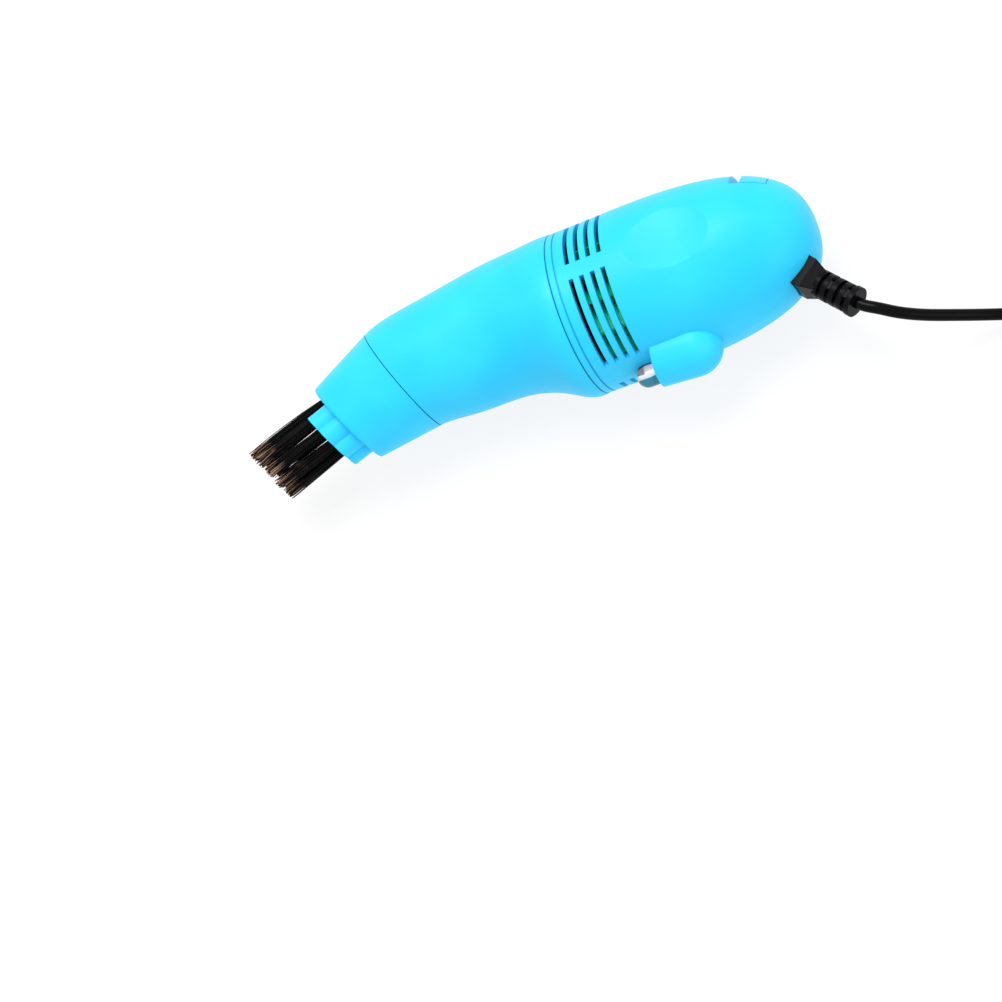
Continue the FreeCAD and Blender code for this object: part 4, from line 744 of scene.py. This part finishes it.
def added(piece: Piece, body: Body, slot: str, *stands_for: str) -> Piece:
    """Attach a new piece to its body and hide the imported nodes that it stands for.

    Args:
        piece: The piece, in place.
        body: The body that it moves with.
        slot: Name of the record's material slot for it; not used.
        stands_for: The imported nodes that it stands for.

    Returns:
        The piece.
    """
    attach(piece, body.value)
    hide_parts(*stands_for)
    LOG.info("built %s on %s", piece.name, body.value)
    return piece


class Assembly:
    """A sub-assembly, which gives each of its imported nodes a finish.

    Attributes:
        finishes: The finish of each node.
    """

    finishes: ClassVar[dict[str, Finish]] = {}

    def dress(self) -> None:
        """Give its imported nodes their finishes."""
        for node, finish in self.finishes.items():
            material = finish.material()
            mesh = frame["nodes"][node].data
            mesh.materials.clear()
            mesh.materials.append(material)
            LOG.info("dressed %s in %s", node, material.name)


class ShapeTree(Tree):
    """A Geometry Nodes tree with named inputs that ends in a plain mesh."""

    prefix = "GeometryNode"

    def __init__(self, name: str) -> None:
        """Start an empty tree.

        Args:
            name: Name of the tree.
        """
        super().__init__(bpy.data.node_groups.new(name, "GeometryNodeTree"))
        self.tree.interface.new_socket("Geometry", in_out="OUTPUT", socket_type="NodeSocketGeometry")
        self.inputs = self.tree.nodes.new("NodeGroupInput")

    def size(self, name: str, value: Union[float, int]) -> Signal:
        """Add a named input.

        Args:
            name: Name of the input.
            value: Its value.

        Returns:
            The input as a signal.
        """
        kind = "NodeSocketInt" if isinstance(value, int) else "NodeSocketFloat"
        socket = self.tree.interface.new_socket(name, in_out="INPUT", socket_type=kind)
        socket.default_value = value
        return Signal(self, self.inputs.outputs[name])

    def random(self, low: float, high: float, index: Signal, seed: Signal, salt: int) -> Signal:
        """A fixed random number for each point.

        Args:
            low: Least value.
            high: Greatest value.
            index: The point's number.
            seed: The tree's seed.
            salt: Tells this number from the others.

        Returns:
            The random number.
        """
        node = self.node(
            "FunctionNodeRandomValue",
            {"data_type": "FLOAT"},
            {2: low, 3: high, "ID": index, "Seed": seed + float(salt)},
        )
        return Signal(self, node.outputs[1])

    def vector(self, along: Number, across: Number, up: Number) -> Socket:
        """Join three numbers.

        Args:
            along: X.
            across: Y.
            up: Z.

        Returns:
            The vector's socket.
        """
        return self.node("ShaderNodeCombineXYZ", inputs={0: along, 1: across, 2: up}).outputs[0]

    def shape(self, name: str, material: Material, geometry: Socket) -> Piece:
        """Close the tree and run it once.

        Args:
            name: Name of the piece.
            material: Its material.
            geometry: The geometry that the tree has made.

        Returns:
            A plain mesh object.
        """
        real = self.node("RealizeInstances", inputs={"Geometry": geometry})
        dressed = self.node("SetMaterial", inputs={"Geometry": real.outputs[0], "Material": material})
        end = self.tree.nodes.new("NodeGroupOutput")
        self.tree.links.new(dressed.outputs[0], end.inputs[0])
        carrier = linked(name + "_carrier", bpy.data.meshes.new(name + "_carrier"))
        modifier = carrier.modifiers.new("shape", "NODES")
        modifier.node_group = self.tree
        for item in self.tree.interface.items_tree:
            if item.in_out == "INPUT":
                modifier[item.identifier] = item.default_value
        bpy.context.view_layer.update()
        evaluated = carrier.evaluated_get(bpy.context.evaluated_depsgraph_get())
        mesh = bpy.data.meshes.new_from_object(evaluated)
        bpy.data.objects.remove(carrier)
        mesh.name = name
        return linked(name, mesh)


class Housing(Assembly):
    """The two shells with their screws and the plates inside."""

    finishes = {
        "upper_shell": HOUSING_PLASTIC,
        "lower_shell": HOUSING_PLASTIC,
        "casing_screws": PLATED_STEEL,
        "inlet_plate": BLACK_PLASTIC,
        "motor_bulkhead": BLACK_PLASTIC,
    }


class Snout(Assembly):
    """The curved nozzle body."""

    finishes = {"snout_shell": SNOUT_PLASTIC}


@dataclass
class BrushHead(Assembly):
    """The head with its ring of bristle tufts.

    Attributes:
        tilt: Lean of the head's front face, in degrees.
        middle: Middle of that face.
        tufts: Number of tufts.
        first_tuft: Angle of the first tuft from the crown towards the lamp side.
        offset: How far the ring lies from the middle, towards the switch side.
        lean: How far the tufts lean that way, in degrees.
        ring: Radius of the ring that the tufts stand on.
        root: Radius of a tuft at its root.
        tip: Radius of a tuft at its tip.
        seat: How deep a tuft sits in the head.
        reach: How far a tuft stands out of the head.
        strands: Strands of a tuft.
        strand: Radius of a strand.
        sides: Sides of a strand.
        bends: Points along a strand.
        thinning: Share of its radius that a strand loses at its tip.
        tuft_lean: How far the tip of a tuft leans out, at least and at most.
        tuft_drift: How far the tip of a tuft may lie off to either side.
        sway: How far the tip of a strand may lie off to either side.
        curl: How far a strand may bow.
        strand_least: Least share of the length that a strand has.
        tuft_least: Least share of the length that a tuft has.
        seed: Seed of everything random.
    """

    finishes = {"brush_head": HEAD_PLASTIC}
    tilt: float = 28.0
    middle: Place = (-79.379, -6.893, 0.0)
    tufts: int = 10
    first_tuft: float = -6.0
    offset: float = 2.3
    lean: float = 8.0
    ring: float = 7.8
    root: float = 1.15
    tip: float = 1.55
    seat: float = 1.6
    reach: float = 29.0
    strands: int = 120
    strand: float = 0.14
    sides: int = 5
    bends: int = 8
    thinning: float = 0.45
    tuft_lean: tuple[float, float] = (-0.9, 0.4)
    tuft_drift: float = 0.9
    sway: float = 0.6
    curl: float = 0.5
    strand_least: float = 0.92
    tuft_least: float = 0.95
    seed: int = 7

    def grow(self) -> Piece:
        """Grow the bristles from a Geometry Nodes tree.

        Returns:
            The bristles as one mesh.
        """
        tree = ShapeTree("bristle_ring")
        tufts = tree.size("Tufts", self.tufts)
        strands = tree.size("Strands per tuft", self.strands)
        seed = tree.size("Seed", self.seed)
        index = Signal(tree, tree.node("InputIndex").outputs[0])
        tuft = (index / strands).apply("FLOOR")
        base, reach, curl = self._strand(tree, index, tuft, tufts, seed)
        points = tree.node("Points", inputs={"Count": tufts * strands, "Position": base})
        held: Socket = points.outputs[0]
        fields: list[Socket] = []
        for value in (base, reach, curl):
            store = self._kept(tree, held, value)
            held = store.outputs[0]
            fields.append(store.outputs[1])
        tone = tree.node(
            "StoreNamedAttribute",
            {"data_type": "FLOAT", "domain": "POINT"},
            {"Geometry": held, "Name": BRISTLE.attribute, "Value": tree.random(0.0, 1.0, index, seed, 9)},
        )
        line = tree.node("CurvePrimitiveLine", inputs={"Start": (0, 0, 0), "End": (-1, 0, 0)})
        fine = tree.node("ResampleCurve", inputs={"Curve": line.outputs[0], "Count": self.bends})
        ends = {"Points": tone.outputs[0], "Instance": fine.outputs[0]}
        planted = tree.node("InstanceOnPoints", inputs=ends)
        real = tree.node("RealizeInstances", inputs={"Geometry": planted.outputs[0]})
        along = Signal(tree, tree.node("SplineParameter").outputs["Factor"])
        place = self._along_strand(tree, fields, along)
        swept = tree.node("SetPosition", inputs={"Geometry": real.outputs[0], "Position": place})
        solid = self._thickened(tree, swept.outputs[0], along)
        piece = tree.shape("bristles", BRISTLE.material(), solid)
        piece.data.transform(self.placing())
        for polygon in piece.data.polygons:
            polygon.use_smooth = True
        return added(piece, Body.NOZZLE, "bristle", "brush_tufts")

    def _strand(
        self, tree: ShapeTree, index: Signal, tuft: Signal, tufts: Signal, seed: Signal
    ) -> tuple[Socket, Socket, Socket]:
        """Where each strand stands and where it goes.

        Args:
            tree: The tree.
            index: The strand's number.
            tuft: Its tuft's number.
            tufts: How many tufts there are.
            seed: The tree's seed.

        Returns:
            The strand's root, its reach and its curl.
        """
        first = tree.size("First tuft angle", math.radians(self.first_tuft))
        ring = tree.size("Ring radius", self.ring)
        root = tree.size("Root radius", self.root)
        widen = tree.size("Tip radius", self.tip) - root
        length = tree.size("Length", self.seat + self.reach)
        offset = tree.size("Ring offset", self.offset)
        slope = tree.size("Tuft slope", math.tan(math.radians(self.lean)))
        turn = tuft * (2 * math.pi) / tufts + first
        spread = tree.random(0.0, 1.0, index, seed, 1).apply("SQRT")
        around = tree.random(0.0, 2 * math.pi, index, seed, 2)
        local_y, local_z = around.apply("COSINE") * spread, around.sine() * spread
        out_y, out_z = turn.sine() * -1.0, turn.apply("COSINE")
        root_y = out_y * ring + local_y * root + offset
        base = tree.vector(self.seat, root_y, out_z * ring + local_z * root)
        lean = tree.random(*self.tuft_lean, tuft, seed, 3)
        drift = tree.random(-self.tuft_drift, self.tuft_drift, tuft, seed, 10)
        sway_y = tree.random(-self.sway, self.sway, index, seed, 4)
        sway_z = tree.random(-self.sway, self.sway, index, seed, 5)
        reach_y = local_y * widen + out_y * lean + out_z * drift + sway_y + length * slope
        reach_z = local_z * widen + out_z * lean - out_y * drift + sway_z
        shorter = tree.random(self.strand_least, 1.0, index, seed, 6)
        drop = length * shorter * tree.random(self.tuft_least, 1.0, tuft, seed, 11) * -1.0
        curl_y = tree.random(-self.curl, self.curl, index, seed, 7)
        curl_z = tree.random(-self.curl, self.curl, index, seed, 8)
        return base, tree.vector(drop, reach_y, reach_z), tree.vector(0.0, curl_y, curl_z)

    @staticmethod
    def _kept(tree: ShapeTree, geometry: Socket, value: Socket) -> Node:
        """Keep a vector on each point for use after the strands are planted.

        Args:
            tree: The tree.
            geometry: The points.
            value: The vector.

        Returns:
            The node that keeps it.
        """
        store = tree.node("CaptureAttribute")
        store.capture_items.new("VECTOR", "Value")
        tree.tree.links.new(geometry, store.inputs[0])
        tree.tree.links.new(value, store.inputs[1])
        return store

    @staticmethod
    def _along_strand(tree: ShapeTree, fields: Sequence[Socket], along: Signal) -> Socket:
        """The place on a strand at a share of its length.

        Args:
            tree: The tree.
            fields: Root, reach and curl of the strand.
            along: The share.

        Returns:
            The place's socket.
        """
        place, reach, curl = fields
        arch = along * (1.0 - along) * 4.0
        for way, share in ((reach, along), (curl, arch)):
            step = tree.node("ShaderNodeVectorMath", {"operation": "SCALE"}, {0: way, "Scale": share})
            both = {0: place, 1: step.outputs[0]}
            place = tree.node("ShaderNodeVectorMath", {"operation": "ADD"}, both).outputs[0]
        return place

    def _thickened(self, tree: ShapeTree, lines: Socket, along: Signal) -> Socket:
        """Give the strands their thickness.

        Args:
            tree: The tree.
            lines: The strands' middle lines.
            along: The share of the length at each point.

        Returns:
            The strands' socket.
        """
        radius = tree.size("Strand radius", self.strand)
        taper = 1.0 - along.rising(0.75, 1.05) * self.thinning
        sized = tree.node("SetCurveRadius", inputs={"Curve": lines, "Radius": taper})
        profile = tree.node("CurvePrimitiveCircle", inputs={"Resolution": self.sides, "Radius": radius})
        ends = {"Curve": sized.outputs[0], "Profile Curve": profile.outputs[0], "Fill Caps": True}
        return tree.node("CurveToMesh", inputs=ends).outputs[0]

    def placing(self) -> Matrix:
        """The move from the head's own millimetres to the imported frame."""
        lean = Matrix.Rotation(math.radians(self.tilt), 4, "Z")
        return Matrix.Translation(metres(self.middle)) @ lean @ Matrix.Scale(MM, 4)


@dataclass
class Filter(Assembly):
    """The filter's ring and its domed cloth.

    Attributes:
        base: Place of the dome's rim along X.
        radius: Radius of the dome.
        height: Height of the dome.
        thickness: Thickness of the cloth.
        rounds: Steps round the dome.
        rises: Steps from its rim to its crown.
    """

    finishes = {"filter_frame": WHITE_PLASTIC}
    base: float = -2.72
    radius: float = 18.79
    height: float = 12.6
    thickness: float = 0.45
    rounds: int = 72
    rises: int = 18

    def build(self) -> Piece:
        """Stretch the cloth over the ring.

        Returns:
            The cloth.
        """
        shape = bmesh.new()
        flat = shape.loops.layers.uv.new("flat")
        rings = []
        for step in range(self.rises):
            angle = math.pi / 2 * step / self.rises
            along, reach = self.base - self.height * math.sin(angle), self.radius * math.cos(angle)
            places = [(along, *self._round(index, reach)) for index in range(self.rounds)]
            rings.append([shape.verts.new(place) for place in places])
        crown = shape.verts.new((self.base - self.height, 0, 0))
        for lower, upper in zip(rings, rings[1:]):
            for index in range(self.rounds):
                after = (index + 1) % self.rounds
                shape.faces.new((lower[index], lower[after], upper[after], upper[index]))
        for index in range(self.rounds):
            shape.faces.new((rings[-1][index], rings[-1][(index + 1) % self.rounds], crown))
        area = sum(face.calc_area() for face in shape.faces) * MM**2
        for face in shape.faces:
            for loop in face.loops:
                place = loop.vert.co
                loop[flat].uv = (0.5 + place.y / (2 * self.radius), 0.5 + place.z / (2 * self.radius))
        bmesh.ops.recalc_face_normals(shape, faces=shape.faces)
        if sum(face.normal.x for face in shape.faces) > 0:
            bmesh.ops.reverse_faces(shape, faces=shape.faces)
        for vertex in shape.verts:
            vertex.co = metres(vertex.co)
        mesh = bpy.data.meshes.new("filter_cloth_dome")
        shape.to_mesh(mesh)
        shape.free()
        mesh.shade_smooth()
        mesh.materials.append(FILTER_CLOTH.material())
        piece = linked("filter_cloth_dome", mesh)
        wall = piece.modifiers.new("cloth", "SOLIDIFY")
        wall.thickness = self.thickness * MM
        wall.offset = 1.0
        added(piece, Body.FILTER, "cloth", "filter_cloth")
        cut = 2 * math.sqrt(area / math.pi)
        return piece

    def _round(self, index: int, reach: float) -> tuple[float, float]:
        """A place across X on a ring of the dome.

        Args:
            index: Number of the place.
            reach: Radius of the ring.

        Returns:
            The place in Y and Z.
        """
        angle = 2 * math.pi * index / self.rounds
        return reach * math.cos(angle), reach * math.sin(angle)


class Drive(Assembly):
    """The fan and the motor that turns it."""

    finishes = {
        "impeller": FAN_PLASTIC,
        "motor_screws": PLATED_STEEL,
        "motor_can": DRAWN_STEEL,
        "front_bush": BRONZE,
        "rear_bush": BRONZE,
        "motor_magnets": FERRITE,
        "motor_end_cap": WHITE_PLASTIC,
        "motor_terminals": BRONZE,
        "noise_capacitor": BROWN_CERAMIC,
        "motor_shaft": PLATED_STEEL,
        "rotor_core": CORE_STEEL,
        "rotor_windings": WINDING_WIRE,
        "commutator": COPPER,
    }


class Switch(Assembly):
    """The slider with the slide switch under it."""

    finishes = {
        "switch_slider": SLIDER_PLASTIC,
        "switch_lever": BLACK_PLASTIC,
        "switch_body": PLATED_STEEL,
    }


class Lamp(Assembly):
    """The clear bulb with its leads."""

    finishes = {"led_lens": BULB_EPOXY, "led_leads": PLATED_STEEL}


class Wiring(Assembly):
    """The wires inside the housing."""

    finishes = {"lamp_wires": PALE_SLEEVE, "red_wires": RED_SLEEVE, "black_wire": BLACK_SLEEVE}


@dataclass
class Cord(Assembly):
    """The cord, the coil of its spare length and its plug.

    Attributes:
        radius: Radius of the cord.
        relief: Where the strain relief's axis starts.
        relief_angle: Direction of that axis, in degrees.
        relief_length: Length of the strain relief.
        relief_run: Straight run out of it.
        lead: Route from there to the coil.
        coil_middle: Middle of the coil.
        coil_outer: Radius of its outermost turns.
        pitch: Distance from turn to turn.
        layers: Layers of the coil.
        turns: Turns in each layer.
        steps: Points of one turn.
        coil_run: Straight run beside either end of the coil.
        tail: Route from the coil to the plug.
        plug: Rear end of the plug.
        plug_run: Straight run into it.
        floor: Height of the cord's middle on the floor.
        order: Order of the cord's spline.
        fineness: Steps from one point of the spline to the next.
        roundness: Steps round a quarter of the cord.
    """

    finishes = {
        "strain_relief": RELIEF_VINYL,
        "plug_overmould": RELIEF_VINYL,
        "plug_shell": PLATED_STEEL,
        "plug_insulator": WHITE_PLASTIC,
        "plug_contacts": GILT,
    }
    radius: float = 1.75
    relief: Place = (67.9, -15.654, 0.0)
    relief_angle: float = -49.2
    relief_length: float = 17.2
    relief_run: float = 2.0
    lead: tuple[Place, ...] = (
        (84.5, -32.4, -0.7),
        (88.9, -34.6, -3.0),
        (94.8, -36.0, -6.9),
        (101.3, -36.9, -10.8),
        (111.0, -37.9, -17.0),
        (120.8, -39.6, -21.0),
        (131.0, -41.0, -22.7),
        (140.5, -41.1, -23.1),
    )
    coil_middle: tuple[float, float] = (158.0, -16.6)
    coil_outer: float = 24.1
    pitch: float = 4.1
    layers: int = 4
    turns: int = 2
    steps: int = 16
    coil_run: float = 6.5
    tail: tuple[Place, ...] = (
        (177.4, -40.3, -13.3),
        (187.0, -37.2, -16.9),
        (193.9, -31.3, -19.9),
    )
    plug: Place = (197.5, -17.8, -20.97)
    plug_run: float = 6.0
    floor: float = -23.22
    order: int = 3
    fineness: int = 8
    roundness: int = 5

    def exit(self) -> Vector:
        """Where the cord leaves the strain relief."""
        return Vector(self.relief) + self.direction() * self.relief_length

    def direction(self) -> Vector:
        """The direction of the strain relief."""
        turn = math.radians(self.relief_angle)
        return Vector((math.cos(turn), math.sin(turn), 0))

    def coil(self) -> list[Vector]:
        """The points of the coil's turns.

        Returns:
            The points from its first turn to its last.
        """
        cut = 0.75 + 0.25 * math.cos(2 * math.pi / self.steps)
        per_layer = self.turns * self.steps
        quarter = self.steps / 4
        points = []
        for step in range(1, self.layers * per_layer):
            layer, rest = divmod(step, per_layer)
            share = rest / per_layer
            inward = layer % 2 == 0
            reach = self.coil_outer - self.pitch * self.turns * (share if inward else 1 - share)
            height = float(layer)
            if rest < quarter and layer > 0:
                height = layer - 0.5 + 0.5 * self._eased(rest / quarter)
            if per_layer - rest < quarter and layer < self.layers - 1:
                height = layer + 0.5 - 0.5 * self._eased((per_layer - rest) / quarter)
            angle = math.radians(360 * step / self.steps - 90)
            x = self.coil_middle[0] + reach / cut * math.cos(angle)
            y = self.coil_middle[1] + reach / cut * math.sin(angle)
            points.append(Vector((x, y, self.floor + self.pitch * height)))
        return points

    @staticmethod
    def _eased(share: float) -> float:
        """A quarter of a sine's rise."""
        return math.sin(math.pi / 2 * share)

    def points(self) -> list[Vector]:
        """Every point of the cord's route.

        Returns:
            The points from the strain relief to the plug.
        """
        start = self.exit()
        low = self.coil_middle[1] - self.coil_outer
        reach = 2 * self.radius
        top = self.floor + self.pitch * (self.layers - 1)
        first = Vector((self.coil_middle[0] - reach, low, self.floor))
        last = Vector((self.coil_middle[0] + reach, low, top))
        along = Vector((1, 0, 0))
        plug = Vector(self.plug)
        route = [start, start + self.direction() * self.relief_run, *map(Vector, self.lead)]
        route += [first - along * self.coil_run, first, *self.coil(), last, last + along * self.coil_run]
        return route + [*map(Vector, self.tail), plug - Vector((0, self.plug_run, 0)), plug]

    def build(self) -> Piece:
        """Lay the cord along its route.

        Returns:
            The cord.
        """
        curve = bpy.data.curves.new("power_cord", "CURVE")
        curve.dimensions = "3D"
        points = self.points()
        spline = curve.splines.new("NURBS")
        spline.points.add(len(points) - 1)
        for target, point in zip(spline.points, points):
            target.co = (*metres(point), 1.0)
        spline.order_u = self.order
        spline.use_endpoint_u = True
        spline.resolution_u = self.fineness
        length = self._length(curve)
        curve.bevel_depth = self.radius * MM
        curve.bevel_resolution = self.roundness
        curve.use_fill_caps = True
        curve.materials.append(CORD_VINYL.material())
        piece = linked("power_cord", curve)
        added(piece, Body.HOUSING, "black_rubber", "cord_lead", "cord_coil", "cord_end")
        LOG.info("cord is %.3f m long", length)
        return piece

    @staticmethod
    def _length(curve: bpy.types.Curve) -> float:
        """Length of a curve's own line.

        Args:
            curve: The curve, before it is given a thickness.

        Returns:
            Its length in metres.
        """
        probe = bpy.data.objects.new("probe", curve)
        line = bpy.data.meshes.new_from_object(probe)
        ends = [[line.vertices[index].co for index in edge.vertices] for edge in line.edges]
        total = sum((first - last).length for first, last in ends)
        bpy.data.objects.remove(probe)
        bpy.data.meshes.remove(line)
        return total


@dataclass(frozen=True)
class SoftLamp:
    """A square lamp that faces the cleaner.

    Attributes:
        name: Its name.
        towards: Direction from the cleaner to it, along the picture's right, up and backward.
        distance: Its distance in metres.
        side: Its side in metres.
        power: Its power in watts.
    """

    name: str
    towards: Place
    distance: float
    side: float
    power: float

    def hang(self, axes: Sequence[Vector]) -> None:
        """Hang the lamp.

        Args:
            axes: Right, up and backward of the picture.
        """
        data = bpy.data.lights.new(self.name, "AREA")
        data.shape = "SQUARE"
        data.size = self.side
        data.energy = self.power
        steps = [axis * share for axis, share in zip(axes, self.towards)]
        direction = sum(steps, Vector()).normalized()
        lamp = linked(self.name, data)
        lamp.rotation_euler = direction.to_track_quat("Z", "Y").to_euler()
        lamp.location = metres((0, 0, 0)) + direction * self.distance


@dataclass
class Studio:
    """The floor, the soft light and the camera.

    Attributes:
        place: Camera's place.
        backward: Direction from the subject back to the camera.
        roll: Turn of the camera about that direction, in degrees.
        lens: Focal length.
        sensor: Width of the sensor.
        nearest: Nearest distance that the camera sees, in metres.
        room: Strength of the room's even light.
        floor_half: Half the side of the floor, in metres.
        floor_tone: How pale the floor is.
        floor_white: Share of plain white in the floor as it is seen.
        lamps: The soft lamps.
    """

    place: Place = (165.51, -337.98, 592.94)
    backward: Place = (0.29259, -0.41883, 0.85964)
    roll: float = 19.915
    lens: float = 85.0
    sensor: float = 36.0
    nearest: float = 0.01
    room: float = 0.74
    floor_half: float = 3.0
    floor_tone: float = 0.9
    floor_white: float = 0.85
    lamps: tuple[SoftLamp, ...] = (
        SoftLamp("key", (-0.55, 0.75, 1.0), 1.3, 0.7, 14.0),
        SoftLamp("fill", (0.9, -0.1, 0.9), 1.4, 1.0, 4.0),
    )

    def axes(self) -> tuple[Vector, Vector, Vector]:
        """Right, up and backward of the picture."""
        backward = Vector(self.backward).normalized()
        level = Vector((1, 0, 0))
        level = (level - backward * level.dot(backward)).normalized()
        steep = backward.cross(level)
        turn = math.radians(self.roll)
        right = level * math.cos(turn) - steep * math.sin(turn)
        up = level * math.sin(turn) + steep * math.cos(turn)
        return right, up, backward

    def camera(self) -> None:
        """Make the camera."""
        data = bpy.data.cameras.new("camera")
        data.lens = self.lens
        data.sensor_width = self.sensor
        data.clip_start = self.nearest
        camera = linked("camera", data)
        turn = Matrix(self.axes()).transposed().to_4x4()
        camera.matrix_world = Matrix.Translation(metres(self.place)) @ turn
        bpy.context.scene.camera = camera

    def floor(self) -> None:
        """Lay a plain pale floor that keeps the shadow."""
        shape = bmesh.new()
        bmesh.ops.create_grid(shape, x_segments=1, y_segments=1, size=self.floor_half)
        mesh = bpy.data.meshes.new("floor")
        shape.to_mesh(mesh)
        shape.free()
        paint = Paint("pale_floor")
        seen = self._seen(paint)
        soft = paint.node("BsdfDiffuse", inputs={0: (*[self.floor_tone] * 3, 1.0)})
        bright = paint.node("Emission", inputs={0: WHITE, 1: 1.0})
        ways = {0: seen * self.floor_white, 1: soft.outputs[0], 2: bright.outputs[0]}
        both = paint.node("MixShader", inputs=ways)
        paint.node("OutputMaterial", inputs={"Surface": both.outputs[0]})
        mesh.materials.append(paint.material)
        linked("floor", mesh)

    @staticmethod
    def _seen(paint: Tree) -> Signal:
        """One for rays that show the background itself.

        Args:
            paint: The tree to add to.

        Returns:
            The mask.
        """
        path = paint.node("LightPath")
        names = ("Is Camera Ray", "Is Glossy Ray", "Is Transmission Ray")
        camera, glossy, through = (Signal(paint, path.outputs[name]) for name in names)
        return camera.apply("MAXIMUM", glossy.apply("MAXIMUM", through))

    def world(self) -> None:
        """Fill the room with even light."""
        world = bpy.data.worlds.new("room")
        world.use_nodes = True
        bpy.context.scene.world = world
        room = Tree(world.node_tree)
        world.node_tree.nodes.clear()
        strength = self._seen(room) * (1.0 - self.room) + self.room
        light = room.node("Background", inputs={0: WHITE, 1: strength})
        room.node("OutputWorld", inputs={"Surface": light.outputs[0]})

    def build(self) -> None:
        """Set up the whole studio."""
        self.camera()
        self.floor()
        self.world()
        for lamp in self.lamps:
            lamp.hang(self.axes())
        bpy.context.scene.view_settings.view_transform = "Standard"


def main() -> None:
    """Build every sub-assembly."""
    logging.basicConfig(level=logging.INFO, format="%(message)s")
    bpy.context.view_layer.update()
    Studio().build()
    cord, head, filter_ring = Cord(), BrushHead(), Filter()
    cord.build()
    head.grow()
    filter_ring.build()
    for assembly in (cord, Housing(), Snout(), head, filter_ring, Drive(), Switch(), Lamp(), Wiring()):
        assembly.dress()
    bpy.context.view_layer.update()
    LOG.info("sizes written")


if __name__ == "__main__":
    main()
